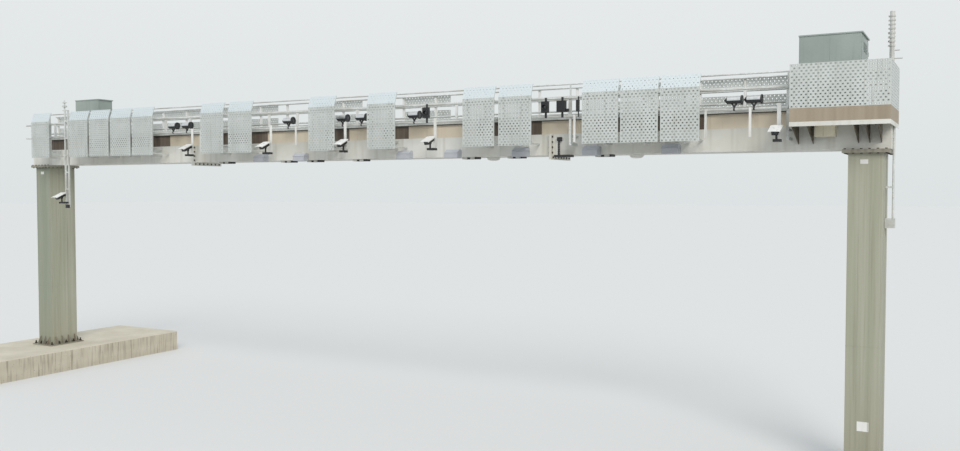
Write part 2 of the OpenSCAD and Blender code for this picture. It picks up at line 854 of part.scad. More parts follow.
// A cabinet with a base frame, an overhanging lid that sheds water, and a door on its +X side
module cabinet(w, d, h) {
    lid_over = 60;
    lid_t = 70;
    lid_rise = 35;
    base_h = 80;
    base_in = 20;
    groove = 8;
    frame = 70;
    vents = 6;
    vent_w = d / 3;
    vent_h = 12;
    vent_pitch = 32;
    hinge_d = 18;
    hinge_h = 90;
    handle = [25, 30, 160];
    door = [[-d / 2 + frame, base_h + frame], [d / 2 - frame, h - lid_t - frame]];
    translate([-w / 2 + base_in, -d / 2 + base_in, 0]) cube([w - 2 * base_in, d - 2 * base_in, base_h]);
    difference() {
        translate([-w / 2, -d / 2, base_h]) cube([w, d, h - lid_t - base_h]);
        translate([w / 2 - groove, 0, 0]) rotate([90, 0, 90]) linear_extrude(groove + past) difference() {
            translate(door[0]) square(door[1] - door[0]);
            translate(door[0] + [groove, groove]) square(door[1] - door[0] - 2 * [groove, groove]);
        }
        for (i = [0 : vents - 1])
            translate([w / 2 - groove, -vent_w / 2, h - lid_t - 3 * frame - vent_pitch * i])
                cube([groove + past, vent_w, vent_h]);
    }
    translate([0, d / 2 + lid_over, h - lid_t]) rotate([90, 0, 0])
        linear_extrude(d + 2 * lid_over) polygon([
            [-w / 2 - lid_over, 0], [w / 2 + lid_over, 0], [w / 2 + lid_over, lid_t - lid_rise],
            [0, lid_t], [-w / 2 - lid_over, lid_t - lid_rise]
        ]);
    for (z = [0.2, 0.5, 0.8] * h)
        translate([w / 2, door[1][0], z]) cylinder(d = hinge_d, h = hinge_h);
    translate([w / 2, door[0][0] + frame, h / 2]) cube(handle);
}

module left_cabinet() {
    w = 1250;
    d = 560;
    h = 1790;
    x = 2080;
    y = 60;
    color(cabinet_paint) translate([x, y, floor_top]) cabinet(w, d, h);
}

module right_cabinet() {
    room_beside = 700;
    room_before = 610;
    x = platform_x1 - room_beside - cabinet_w / 2;
    y = platform_y + room_before + cabinet_d / 2;
    color(cabinet_paint) translate([x, y, floor_top]) cabinet(cabinet_w, cabinet_d, cabinet_h);
}

// The platform's floor plate, with a channel that hangs from its edge clear of the beam
module platform_floor() {
    t = 8;
    low = floor_top - platform_edge;
    color(steel) {
        block([platform_x0, platform_y, beam_top], [platform_x1, platform_rear, floor_top]);
        block([platform_x0, platform_y, low], [platform_x1, platform_y + t, floor_top]);
        block([platform_x0, platform_y, low], [platform_x0 + t, beam_front, floor_top]);
        block([platform_x1 - t, platform_y, low], [platform_x1, platform_rear, floor_top]);
    }
}

// A punched panel w by h in a frame of flat bars, standing on the origin along +X
module framed_panel(w, h) {
    frame_w = 40;
    frame_t = 20;
    translate([frame_w / 2, 0, frame_w / 2]) rotate([90, 0, 0])
        punched_sheet(w - frame_w, h - frame_w, panel_t);
    difference() {
        block([0, 0, 0], [w, frame_t, h]);
        block([frame_w, -past, frame_w], [w - frame_w, frame_t + past, h - frame_w]);
    }
}

// Panels above the toe-boards, at the front and both ends of the platform
module platform_panels() {
    t = 20;
    h = guard_top - toe_top;
    color(perforated) {
        translate([platform_x0, platform_y, toe_top]) framed_panel(platform_w, h);
        translate([platform_x1, platform_y + t + joint, toe_top]) rotate(90)
            framed_panel(platform_rear - platform_y - t - joint, h);
        translate([platform_x0 + t, platform_y + t + joint, toe_top]) rotate(90)
            framed_panel(platform_out - t - joint, h);
    }
}

// Tapered brackets from the beam's front face to the platform's front edge
module platform_gussets() {
    t = 16;
    depth = 420;
    reach = platform_out - 20;
    color(steel) for (x = [60, 390, platform_w - 740, platform_w - 500, platform_w - 250])
        translate([platform_x0 + x, beam_front, beam_top]) rotate([90, 0, -90])
            linear_extrude(t) polygon([[0, 0], [reach, 0], [reach, -50], [0, -depth]]);
}

module junction_box() {
    w = 440;
    d = 300;
    h = 270;
    lid_over = 10;
    lid_t = 40;
    in_from_end = 470;
    off_beam = 130;
    color(white_cover) translate([platform_x0 + in_from_end, beam_front - off_beam - d, beam_top - h]) {
        cube([w, d, h]);
        translate([-lid_over, -lid_over, h - lid_t]) cube([w + 2 * lid_over, d + 2 * lid_over, lid_t]);
    }
}

// A short post with a clamped head of small sensors
module left_antenna() {
    h = 1790;
    d = 50;
    x = 1050;
    foot_d = 140;
    foot_t = 12;
    ring_t = 40;
    arm = [220, 40, 20];
    head = [120, 120, 60];
    color(zinc) translate([x, front_rail_y + (rail_d + foot_d) / 2 - foot_t, floor_top]) {
        cylinder(d = foot_d, h = foot_t);
        cylinder(d = d, h = h);
        for (z = [0.78, 0.86, 0.94] * h) translate([0, 0, z]) {
            cylinder(d = d + ring_t, h = ring_t);
            translate([-arm[0] / 2, -arm[1] / 2, ring_t / 4]) cube(arm);
        }
        translate([-head[0] / 2, -head[1] / 2, h * 0.86]) cube(head);
    }
}

// A pole with a ribbed foot, four clamps and two short arms
module right_mast() {
    d = 110;
    h = 2600;
    foot_w = 260;
    foot_t = 16;
    rib_in = 10;
    rib_high = 160;
    cap_h = 30;
    clamp_h = 34;
    ear = 35;
    arm_d = 30;
    off_end = 150;
    off_rear = 220;
    color(white_cover) translate([platform_x1 - off_end, beam_rear - off_rear, floor_top]) {
        translate([-foot_w / 2, -foot_w / 2, 0]) cube([foot_w, foot_w, foot_t]);
        cylinder(d = d, h = h);
        translate([0, 0, h]) cylinder(d1 = d + rib_in, d2 = d / 2, h = cap_h);
        for (turn = [0 : 90 : 270]) rotate(turn) translate([d / 2 - rib_in, 0, foot_t])
            rib((foot_w - d) / 2, rib_high, rib_in);
        for (z = [1800 : 95 : 2100]) translate([0, 0, z]) {
            cylinder(d = d + 24, h = clamp_h);
            translate([-d / 2 - ear, -ear / 2, 0]) cube([ear, ear, clamp_h]);
        }
        for (arm = [[1520, 170], [1710, 110]])
            translate([0, 0, arm[0]]) rotate([0, 90, 0]) cylinder(d = arm_d, h = d / 2 + arm[1]);
    }
}

// Two tubes that hang before the beam, tied to each other, with a camera at their foot
drop_x = 2460;
drop_gap = 170;
drop_low = clearance - 1520;
drop_foot = 120;
drop_side = -120;

module drop_mast() {
    tube = 50;
    tie_pitch = 600;
    arm_z = [clearance + beam_h / 2, upper_tube_z - tube / 2];
    color(zinc) union() {
        for (side = [-1, 1]) {
            x = drop_x + side * drop_gap / 2;
            block([x - tube / 2, shroud_y, drop_low], [x + tube / 2, shroud_y + tube, guard_top]);
            block([x - tube / 2, shroud_y, arm_z[0]], [x + tube / 2, beam_front, arm_z[0] + tube]);
            block([x - tube / 2, shroud_y, arm_z[1]], [x + tube / 2, tube_face, arm_z[1] + tube]);
        }
        for (z = [drop_low : tie_pitch : guard_top - tube])
            translate([drop_x - drop_gap / 2, shroud_y, z]) cube([drop_gap, tube, tube]);
    }
}

// The camera, and the box of its wiring beside it on the tubes
module drop_camera() {
    box = [110, 90, 120];
    beside = 20;
    below = 40;
    color(dark) {
        translate([drop_x, shroud_y, drop_low + drop_foot]) hooded_camera(drop_side);
        translate([drop_x + beside, shroud_y - box[1], drop_low - below]) cube(box);
    }
}

// Two conduits down the beam's end and past the flange, with clips and the box they end in
module end_conduits() {
    d = 45;
    x = beam_x1 + d / 2;
    low = column_top - 1500;
    box_h = 220;
    column_face = span + column_w / 2 + seam_out;
    color(zinc) {
        for (y = [-35, 35]) translate([x, y, low]) cylinder(d = d, h = beam_top - low);
        for (z = [low + 700, clearance + beam_h / 2 - 20])
            block([z < column_top ? column_face : beam_x1, -75, z], [x, 75, z + 40]);
        block([column_face, -110, low - box_h], [x + d, 110, low]);
    }
}

left_plinth();
base_plates();
base_ribs();
anchor_bolts();
left_column();
right_column();
column_head_plates();
beam_foot_plates();
head_bolts();
left_beam();
middle_beam();
right_beam();
splice_bolts();
walkway_grating();
toe_boards();
guard_posts();
guard_rails();
cable_trunking();
rear_panels_left();
rear_panels_middle();
rear_panels_right();
shroud_frames();
shroud_group(0);  // shrouds_1
shroud_group(1);  // shrouds_2
shroud_group(2);  // shrouds_3
shroud_group(3);  // shrouds_4
shroud_group(4);  // shrouds_5
shroud_group(5);  // shrouds_6
shroud_group(6);  // shrouds_7
equipment_tubes();
tube_stands();
carrier_posts();
barrel_cameras();
hooded_cameras();
camera_covers();
floodlights();
scanner_boxes();
slot_sensors();
dome_sensors();
left_cabinet();
right_cabinet();
platform_floor();
platform_panels();
platform_gussets();
junction_box();
left_antenna();
right_mast();
drop_mast();
drop_camera();
end_conduits();
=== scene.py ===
import bmesh
import bpy
import numpy as np
from mathutils import Euler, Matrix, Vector


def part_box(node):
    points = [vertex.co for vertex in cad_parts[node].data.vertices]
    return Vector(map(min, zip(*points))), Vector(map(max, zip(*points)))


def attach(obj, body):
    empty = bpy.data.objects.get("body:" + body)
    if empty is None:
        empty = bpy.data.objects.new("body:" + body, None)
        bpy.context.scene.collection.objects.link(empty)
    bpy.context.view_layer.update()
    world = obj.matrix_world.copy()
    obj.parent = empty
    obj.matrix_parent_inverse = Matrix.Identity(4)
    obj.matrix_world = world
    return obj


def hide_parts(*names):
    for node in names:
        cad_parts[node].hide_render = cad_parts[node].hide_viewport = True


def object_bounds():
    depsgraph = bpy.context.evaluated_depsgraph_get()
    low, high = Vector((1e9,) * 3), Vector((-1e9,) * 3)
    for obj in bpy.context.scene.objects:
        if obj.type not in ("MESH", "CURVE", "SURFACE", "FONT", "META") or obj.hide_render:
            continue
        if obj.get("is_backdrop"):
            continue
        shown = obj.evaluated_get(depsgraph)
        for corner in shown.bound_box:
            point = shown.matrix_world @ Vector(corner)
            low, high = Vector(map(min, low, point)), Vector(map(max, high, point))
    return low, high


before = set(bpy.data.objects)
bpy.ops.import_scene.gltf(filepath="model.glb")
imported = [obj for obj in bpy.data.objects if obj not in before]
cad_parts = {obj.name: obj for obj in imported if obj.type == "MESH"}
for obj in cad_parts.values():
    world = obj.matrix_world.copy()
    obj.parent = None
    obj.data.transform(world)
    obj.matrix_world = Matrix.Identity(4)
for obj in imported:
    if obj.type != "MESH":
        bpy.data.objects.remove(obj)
cad_low, cad_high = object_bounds()


# Foundation of the left column: one block of concrete cast on site against boards, with joints
# in its inner side. The top is pale from wear, and rain has run down the sides from its edge.

def colour(code):
    """An sRGB hex colour as linear RGBA. A channel c becomes c / 12.92 up to 0.04045, and
    ((c + 0.055) / 1.055) ** 2.4 above it."""
    c = np.array([int(code[i:i + 2], 16) / 255 for i in (1, 3, 5)])
    linear = np.where(c > 0.04045, ((c + 0.055) / 1.055) ** 2.4, c / 12.92)
    return (*linear.tolist(), 1.0)


def new_finish(name):
    """An empty node material."""
    finish = bpy.data.materials.new(name)
    finish.use_nodes = True
    finish.node_tree.nodes.clear()
    return finish


def add(finish, kind, inputs, **settings):
    """Adds one node of a kind. Each input is a socket to link from, or a value to set."""
    node = finish.node_tree.nodes.new("ShaderNode" + kind)
    for name, value in settings.items():
        setattr(node, name, value)
    for name, value in inputs.items():
        if isinstance(value, bpy.types.NodeSocket):
            finish.node_tree.links.new(value, node.inputs[name])
        else:
            node.inputs[name].default_value = value
    return node


SHARE, UNDER, OVER, MIXED = 0, 6, 7, 2  # sockets of a Mix node that mixes colours


def close_finish(finish, base, rough, height, depth, constants):
    """Ends a finish. base and rough are sockets, height is the socket of its relief, which is
    depth metres deep, and the constants go on the shader itself."""
    relief = add(finish, "Bump", {"Height": height, "Distance": depth})
    sockets = {"Base Color": base, "Roughness": rough, "Normal": relief.outputs[0]}
    shader = add(finish, "BsdfPrincipled", {**sockets, **constants})
    add(finish, "OutputMaterial", {"Surface": shader.outputs[0]})
    return finish


def cast_concrete():
    """Site-cast concrete: mineral, IOR 1.5 and quite rough. Cement cloud a metre wide, runs of
    dirt 70 mm wide down its sides, board marks 0.4 m apart, and air holes drawn up to 24 mm wide,
    about three times their real size, so that they show."""
    finish = new_finish("cast_concrete")
    place = add(finish, "TexCoord", {}).outputs["Object"]
    cloud = add(finish, "TexNoise", {"Vector": place, "Scale": 1.1, "Detail": 6.0}).outputs[0]
    cement = add(finish, "Mix", {SHARE: cloud, UNDER: colour("#b3ab99"), OVER: colour("#dcd5c4")},
                 data_type="RGBA").outputs[MIXED]
    narrow = add(finish, "Mapping", {"Vector": place, "Scale": (14.0, 14.0, 0.9)}).outputs[0]
    runs = add(finish, "TexNoise", {"Vector": narrow, "Scale": 1.0, "Detail": 3.0}).outputs[0]
    wet = add(finish, "MapRange", {"Value": runs, "From Min": 0.50, "From Max": 0.72, "To Max": 0.75})
    normal = add(finish, "NewGeometry", {}).outputs["Normal"]
    up = add(finish, "SeparateXYZ", {"Vector": normal}).outputs["Z"]
    side = add(finish, "MapRange", {"Value": up, "From Min": 0.5, "From Max": 0.1})
    on_side = add(finish, "Math", {0: wet.outputs[0], 1: side.outputs[0]}, operation="MULTIPLY")
    stained = add(finish, "Mix", {SHARE: on_side.outputs[0], UNDER: cement, OVER: colour("#8d8573")},
                  data_type="RGBA").outputs[MIXED]
    holes = add(finish, "TexVoronoi", {"Vector": place, "Scale": 9.0}).outputs["Distance"]
    pit = add(finish, "MapRange", {"Value": holes, "From Min": 0.06, "From Max": 0.11})
    pitted = add(finish, "Mix", {SHARE: pit.outputs[0], UNDER: colour("#6f695c"), OVER: stained},
                 data_type="RGBA").outputs[MIXED]
    rough = add(finish, "MapRange", {"Value": cloud, "To Min": 0.95, "To Max": 0.75}).outputs[0]
    boards = add(finish, "TexWave", {"Vector": place, "Scale": 0.8, "Distortion": 0.4, "Detail": 3.0},
                 bands_direction="Z").outputs["Fac"]
    relief = add(finish, "Math", {0: boards, 1: pit.outputs[0]}, operation="MULTIPLY").outputs[0]
    return close_finish(finish, pitted, rough, relief, 0.006, {"IOR": 1.5})


def dress(finish, *nodes):
    """Gives frame pieces their finish."""
    for node in nodes:
        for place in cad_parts[node].material_slots:
            place.material = finish


dress(cast_concrete(), "left_plinth")


# Foot of each column: a base plate with ribs welded round the column, in the columns' paint but
# darker with splashed dirt, with runs of rust.

def worn_paint(name, paint, dust, run, runs_from=0.55, run_w=0.07, runs=0.8, rough=0.5, shade_films=()):
    """Two-part paint on steel or aluminium, weathered outdoors: IOR 1.5 and satin. Dust lies in
    patches about a metre wide, dirt runs down it in streaks run_w metres wide, and a fine orange
    peel is drawn 12 mm wide, about four times its real size. runs_from is the noise level where a
    run starts, and runs how much of it hides the paint. Each of the shade_films (x0, x1, y1, colour)
    is painted shade in its colour, which covers at least 0.8 of what lies before y1 from x0 to x1,
    where |x - middle| is at most half its length."""
    finish = new_finish(name)
    place = add(finish, "TexCoord", {}).outputs["Object"]
    cloud = add(finish, "TexNoise", {"Vector": place, "Scale": 0.9, "Detail": 5.0}).outputs[0]
    dusty = add(finish, "MapRange", {"Value": cloud, "From Min": 0.38, "From Max": 0.68}).outputs[0]
    coat = add(finish, "Mix", {SHARE: dusty, UNDER: colour(paint), OVER: colour(dust)},
               data_type="RGBA").outputs[MIXED]
    squeeze = (1 / run_w, 1 / run_w, 0.05 / run_w)
    narrow = add(finish, "Mapping", {"Vector": place, "Scale": squeeze}).outputs[0]
    streaks = add(finish, "TexNoise", {"Vector": narrow, "Scale": 1.0, "Detail": 1.0}).outputs[0]
    dirty = add(finish, "MapRange", {
        "Value": streaks, "From Min": runs_from, "From Max": runs_from + 0.3, "To Max": runs}).outputs[0]
    base = add(finish, "Mix", {SHARE: dirty, UNDER: coat, OVER: colour(run)},
               data_type="RGBA").outputs[MIXED]
    # Painted shade: each shade film mixes a stretch towards its darker colour
    for x0, x1, y1, film in shade_films:
        axes = add(finish, "SeparateXYZ", {"Vector": place}).outputs
        before = add(finish, "Math", {0: axes["Y"], 1: y1}, operation="LESS_THAN").outputs[0]
        inside = add(finish, "Math", {0: axes["X"], 1: (x0 + x1) / 2, 2: (x1 - x0) / 2},
                     operation="COMPARE").outputs[0]
        within = add(finish, "Math", {0: inside, 1: before}, operation="MULTIPLY").outputs[0]
        patchy = add(finish, "MapRange", {
            "Value": streaks, "From Min": 0.2, "From Max": 0.8, "To Min": 0.8}).outputs[0]
        covered = add(finish, "Math", {0: within, 1: patchy}, operation="MULTIPLY").outputs[0]
        base = add(finish, "Mix", {SHARE: covered, UNDER: base, OVER: colour(film)},
                   data_type="RGBA").outputs[MIXED]
    dull = add(finish, "MapRange", {"Value": cloud, "To Min": rough - 0.1, "To Max": rough + 0.2})
    peel = add(finish, "TexNoise", {"Vector": place, "Scale": 80.0, "Detail": 2.0}).outputs[0]
    return close_finish(finish, base, dull.outputs[0], peel, 0.0006, {"IOR": 1.5})


dress(worn_paint("foot_paint", "#8f8e80", "#7a7466", "#6b4a33", runs_from=0.52, run_w=0.12, rough=0.6),
      "base_plates", "base_ribs")


# Anchor studs, flange bolts and splice bolts: black-oxidised steel with washers, greased when they
# were tightened and now brown at the edges.

def oxidised_steel():
    """Black-oxidised steel: a metal, dark and half rough. Rust spots are drawn 20 mm wide."""
    finish = new_finish("oxidised_steel")
    place = add(finish, "TexCoord", {}).outputs["Object"]
    spots = add(finish, "TexNoise", {"Vector": place, "Scale": 50.0, "Detail": 4.0}).outputs[0]
    rusty = add(finish, "MapRange", {"Value": spots, "From Min": 0.52, "From Max": 0.62})
    base = add(finish, "Mix", {SHARE: rusty.outputs[0], UNDER: colour("#3c3b38"), OVER: colour("#5d4533")},
               data_type="RGBA").outputs[MIXED]
    rough = add(finish, "MapRange", {"Value": spots, "To Min": 0.35, "To Max": 0.8}).outputs[0]
    return close_finish(finish, base, rough, spots, 0.0005, {"Metallic": 0.6})


dress(oxidised_steel(), "anchor_bolts", "head_bolts", "splice_bolts")


# Columns: box sections of welded plate, 0.75 by 1.08 m, painted stone grey. Rain and algae have
# left pale, green and brown bands down their faces, and the left column's front carries painted shade.

def column_paint_and_shade():
    """Polyurethane paint on steel, never washed: IOR 1.5, and duller where it is dirty. Bands of
    algae and dust 0.16 m wide run all the way down, finer runs of 50 mm lie over them, the left
    column's front is painted a darker green-grey as painted shade, and splashed dirt darkens the
    lowest 2.6 m."""
    finish = new_finish("column_paint_and_shade")
    place = add(finish, "TexCoord", {}).outputs["Object"]
    wide = add(finish, "Mapping", {"Vector": place, "Scale": (6.0, 6.0, 0.12)}).outputs[0]
    bands = add(finish, "TexNoise", {"Vector": wide, "Scale": 1.0, "Detail": 4.0}).outputs[0]
    green = add(finish, "MapRange", {"Value": bands, "From Min": 0.40, "From Max": 0.62}).outputs[0]
    coat = add(finish, "Mix", {SHARE: green, UNDER: colour("#b0b09f"), OVER: colour("#a2a491")},
               data_type="RGBA").outputs[MIXED]
    fine = add(finish, "Mapping", {"Vector": place, "Scale": (20.0, 20.0, 0.4)}).outputs[0]
    runs = add(finish, "TexNoise", {"Vector": fine, "Scale": 1.0, "Detail": 3.0}).outputs[0]
    brown = add(finish, "MapRange", {
        "Value": runs, "From Min": 0.54, "From Max": 0.80, "To Max": 0.55}).outputs[0]
    run_down = add(finish, "Mix", {SHARE: brown, UNDER: coat, OVER: colour("#857f6b")},
                   data_type="RGBA").outputs[MIXED]
    # Painted shade: faces of the left column that look to the front are mixed towards a darker green-grey
    normal = add(finish, "NewGeometry", {}).outputs["Normal"]
    facing = add(finish, "SeparateXYZ", {"Vector": normal}).outputs["Y"]
    front = add(finish, "MapRange", {
        "Value": facing, "From Min": -0.4, "From Max": -0.6, "To Max": 0.6}).outputs[0]
    along = add(finish, "SeparateXYZ", {"Vector": place}).outputs["X"]
    left = add(finish, "Math", {0: along, 1: 1.0}, operation="LESS_THAN").outputs[0]
    front_shade = add(finish, "Math", {0: front, 1: left}, operation="MULTIPLY").outputs[0]
    front_shaded = add(finish, "Mix", {SHARE: front_shade, UNDER: run_down, OVER: colour("#848f80")},
                  data_type="RGBA").outputs[MIXED]
    height = add(finish, "SeparateXYZ", {"Vector": place}).outputs["Z"]
    spray = add(finish, "MapRange", {
        "Value": height, "From Min": 2.6, "From Max": 0.0, "To Max": 0.45}).outputs[0]
    base = add(finish, "Mix", {SHARE: spray, UNDER: front_shaded, OVER: colour("#8f8775")},
               data_type="RGBA").outputs[MIXED]
    rough = add(finish, "MapRange", {"Value": bands, "To Min": 0.45, "To Max": 0.75}).outputs[0]
    peel = add(finish, "TexNoise", {"Vector": place, "Scale": 70.0, "Detail": 2.0}).outputs[0]
    return close_finish(finish, base, rough, peel, 0.0006, {"IOR": 1.5})


dress(column_paint_and_shade(), "left_column", "right_column")


# Bare plates on the columns: a sheet-metal plate at chest height on the right column, and a small
# tag near the head of each, all fixed flat with four dome rivets.

def new_piece(name, points, faces, finish, slot, *replaced):
    """Makes a piece from an array of points and one of faces, closes its seams and poles, turns
    its faces outwards, and fixes it to the gantry. A fourth column of the points is kept as the
    attribute hole_shade, painted shade from 0 for none to 1."""
    mesh = bpy.data.meshes.new(name)
    mesh.from_pydata(points[:, :3].tolist(), [], faces.tolist())
    if points.shape[1] == 4:
        mesh.attributes.new("hole_shade", "FLOAT", "POINT").data.foreach_set("value", points[:, 3])
    surface = bmesh.new()
    surface.from_mesh(mesh)
    bmesh.ops.remove_doubles(surface, verts=surface.verts, dist=0.00005)
    bmesh.ops.dissolve_degenerate(surface, edges=surface.edges, dist=0.00002)
    bmesh.ops.recalc_face_normals(surface, faces=surface.faces)
    surface.to_mesh(mesh)
    surface.free()
    mesh.materials.append(finish)
    piece = bpy.data.objects.new(name, mesh)
    bpy.context.scene.collection.objects.link(piece)
    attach(piece, "root")
    if replaced:
        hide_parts(*replaced)
    return piece


def box_surfaces(low, high):
    """Points and faces of many boxes at once. A box's eight corners are low + u * (high - low),
    where each part of u is 0 or 1."""
    low, high = np.array(low, float), np.array(high, float)
    u = np.array([[x, y, z] for x in (0, 1) for y in (0, 1) for z in (0, 1)])
    points = low[:, None] + u * (high - low)[:, None]
    sides = np.array([[0, 1, 3, 2], [4, 6, 7, 5], [0, 4, 5, 1], [2, 3, 7, 6], [0, 2, 6, 4], [1, 5, 7, 3]])
    first = 8 * np.arange(len(low))
    return points.reshape(-1, 3), (first[:, None, None] + sides).reshape(-1, 4)


def turned_surfaces(profile, centres, axis, sides=24):
    """Points and faces of a profile turned round an axis at each of many centres. A profile point
    (r, h) at angle a lies at centre + r * (cos a * one side + sin a * the other) + h * axis."""
    profile, centres = np.array(profile, float), np.array(centres, float)
    axis = np.array(axis, float) / np.linalg.norm(axis)
    one = np.cross(axis, [0.0, 0.0, 1.0] if abs(axis[2]) < 0.9 else [1.0, 0.0, 0.0])
    one /= np.linalg.norm(one)
    other = np.cross(axis, one)
    a = np.linspace(0, 2 * np.pi, sides, endpoint=False)
    round_it = np.cos(a)[:, None] * one + np.sin(a)[:, None] * other
    form = profile[:, 0, None, None] * round_it + profile[:, 1, None, None] * axis
    points = (centres[:, None, None] + form).reshape(-1, 3)
    i, j = np.meshgrid(np.arange(len(profile) - 1), np.arange(sides), indexing="ij")
    k = (j + 1) % sides
    quads = np.stack([i * sides + j, i * sides + k, (i + 1) * sides + k, (i + 1) * sides + j], -1)
    first = len(profile) * sides * np.arange(len(centres))
    return points, (first[:, None, None] + quads.reshape(-1, 4)).reshape(-1, 4)


def joined(*surfaces):
    """Several sets of points and faces as one set."""
    starts = np.cumsum([0] + [len(points) for points, faces in surfaces[:-1]])
    faces = [faces + start for start, (points, faces) in zip(starts, surfaces)]
    return np.concatenate([points for points, faces in surfaces]), np.concatenate(faces)


def riveted_plate(x, y, z, width, height):
    """A plate 3 mm thick centred at x and z on the face at y, with a dome rivet in each corner."""
    thick, inset, head = 0.003, 0.018, 0.006
    low, high = (x - width / 2, y - thick, z - height / 2), (x + width / 2, y, z + height / 2)
    corners = [(x + i * (width / 2 - inset), y - thick, z + k * (height / 2 - inset))
               for i in (-1, 1) for k in (-1, 1)]
    dome = [(head, 0.0), (0.8 * head, 0.35 * head), (0.0, 0.5 * head)]
    return joined(box_surfaces([low], [high]), turned_surfaces(dome, corners, (0, -1, 0), sides=10))


column_low, column_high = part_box("right_column")
# The box starts at the seams, which stand this far before the face that the plates lie on
seam_out = 0.004
column_x = [(low.x + high.x) / 2 for low, high in (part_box("left_column"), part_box("right_column"))]
face_y = column_low.y + seam_out
tag_w, tag_h, tag_left, tag_down = 0.17, 0.10, 0.03, 0.20
plate_w, plate_h, plate_right, plate_z = 0.25, 0.22, 0.02, 1.16
tags = [riveted_plate(x - tag_left, face_y, column_high.z - tag_down, tag_w, tag_h) for x in column_x]
plate = riveted_plate(column_x[1] + plate_right, face_y, plate_z, plate_w, plate_h)
white_enamel = worn_paint("white_enamel", "#f0f1ef", "#dcdcd7", "#a5a196", runs_from=0.6, rough=0.35)
new_piece("column_plates", *joined(plate, *tags), white_enamel, "white_cover")


# Flange between each column and the beam: two head plates bolted together, once painted as the
# columns are, now the dirtiest steel on the gantry because the beam drips on it.
dress(worn_paint("flange_paint", "#a5a297", "#8d897b", "#6a6252", runs_from=0.48, run_w=0.10, rough=0.6),
      "column_head_plates", "beam_foot_plates")


# Beam: three lengths of welded box section with bolted end-plate splices, painted pale stone grey.
# Dust dulls it in wide patches, and faint brown runs go down its sides.
beam_paint = worn_paint("beam_paint", "#e4e5e0", "#d5d4cb", "#a59f8e", runs_from=0.50, run_w=0.15, runs=0.35)
dress(beam_paint, "left_beam", "middle_beam", "right_beam")


# Walkway grating: panels of pressed steel grating with a bearing bar every 34 mm, cross rods
# every 100 mm and a flat bar round each panel, all dipped in zinc after welding.

def dipped_zinc():
    """Hot-dip galvanised steel, some years old: a metal gone dull, roughness about 0.5. Its
    crystals are drawn 40 mm wide, three times their real size, and dust lies in wide patches."""
    finish = new_finish("dipped_zinc")
    place = add(finish, "TexCoord", {}).outputs["Object"]
    crystals = add(finish, "TexVoronoi", {"Vector": place, "Scale": 25.0}).outputs["Color"]
    grey = add(finish, "SeparateXYZ", {"Vector": crystals}).outputs["X"]
    zinc = add(finish, "Mix", {SHARE: grey, UNDER: colour("#c9cdcb"), OVER: colour("#e0e3e1")},
               data_type="RGBA").outputs[MIXED]
    cloud = add(finish, "TexNoise", {"Vector": place, "Scale": 1.6, "Detail": 5.0}).outputs[0]
    dusty = add(finish, "MapRange", {"Value": cloud, "From Min": 0.42, "From Max": 0.70}).outputs[0]
    base = add(finish, "Mix", {SHARE: dusty, UNDER: zinc, OVER: colour("#b9b9b2")},
               data_type="RGBA").outputs[MIXED]
    rough = add(finish, "MapRange", {"Value": grey, "To Min": 0.42, "To Max": 0.62}).outputs[0]
    return close_finish(finish, base, rough, grey, 0.0003, {"Metallic": 0.25})


zinc = dipped_zinc()


def blocks(x, y, z):
    """Points and faces of boxes from x[0] to x[1], y[0] to y[1] and z[0] to z[1]. Each of these
    is one number, or an array with a number for each box."""
    ends = np.atleast_1d(*np.broadcast_arrays(*x, *y, *z))
    return box_surfaces(np.stack(ends[::2], -1), np.stack(ends[1::2], -1))


def grating_bars():
    """Boxes for the bars. Bearing bars run across the walkway, rods along it, and two long bars
    and the panels' ends close the edges."""
    low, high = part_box("walkway_grating")
    bar, pitch, bar_down, rod, rod_h, rod_count, panels = 0.004, 0.034, 0.002, 0.006, 0.010, 11, 19
    bars = np.arange(low.x, high.x - bar, pitch)
    rods = np.linspace(low.y + bar, high.y - bar - rod, rod_count)
    ends = np.linspace(low.x, high.x - 2 * bar, panels + 1)
    sides = np.array([low.y, high.y - bar])
    return joined(
        blocks((bars, bars + bar), (low.y + bar, high.y - bar), (low.z, high.z - bar_down)),
        blocks((low.x + bar, high.x - bar), (rods, rods + rod), (high.z - rod_h, high.z)),
        blocks((low.x, high.x), (sides, sides + bar), (low.z, high.z)),
        blocks((ends, ends + 2 * bar), (low.y, high.y), (low.z, high.z)))


new_piece("grating_bars", *grating_bars(), zinc, "galvanized_steel", "walkway_grating")


# Toe-boards: folded steel sheet 0.35 m high, painted a pale tan and bolted to the posts. The sun has
# bleached them in patches. Painted shade browns them round the platform, under its panels, and,
# darkest, behind the shrouds, which shadow them there; their tan is partly painted shade too, the
# warm light bounced into their shade.
shade_left, shade_right, walkway_y = 0.02, 0.08, 0.0
groups = [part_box("shrouds_%d" % i) for i in range(1, 8)]
# Painted shade: dark brown on the boards behind each group of shrouds
shade_films = [(low.x - shade_left, high.x - shade_right, walkway_y, "#504339") for low, high in groups]
# Painted shade: a lighter brown on the boards round the platform, under its panels
shade_films.append((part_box("platform_floor")[0].x, cad_high.x, cad_high.y, "#9a8d7a"))
# Painted shade: the boards' tan is partly the warm light bounced into their shade
dress(worn_paint("tan_board_paint_and_shade", "#dccfba", "#e0d4c0", "#bbae99", run_w=0.12, runs=0.5, rough=0.6,
                 shade_films=shade_films), "toe_boards")


# Packing strips: black rubber in lengths of half a metre, laid on the toe-board. The trunking
# rests on them, so that water drains under it.

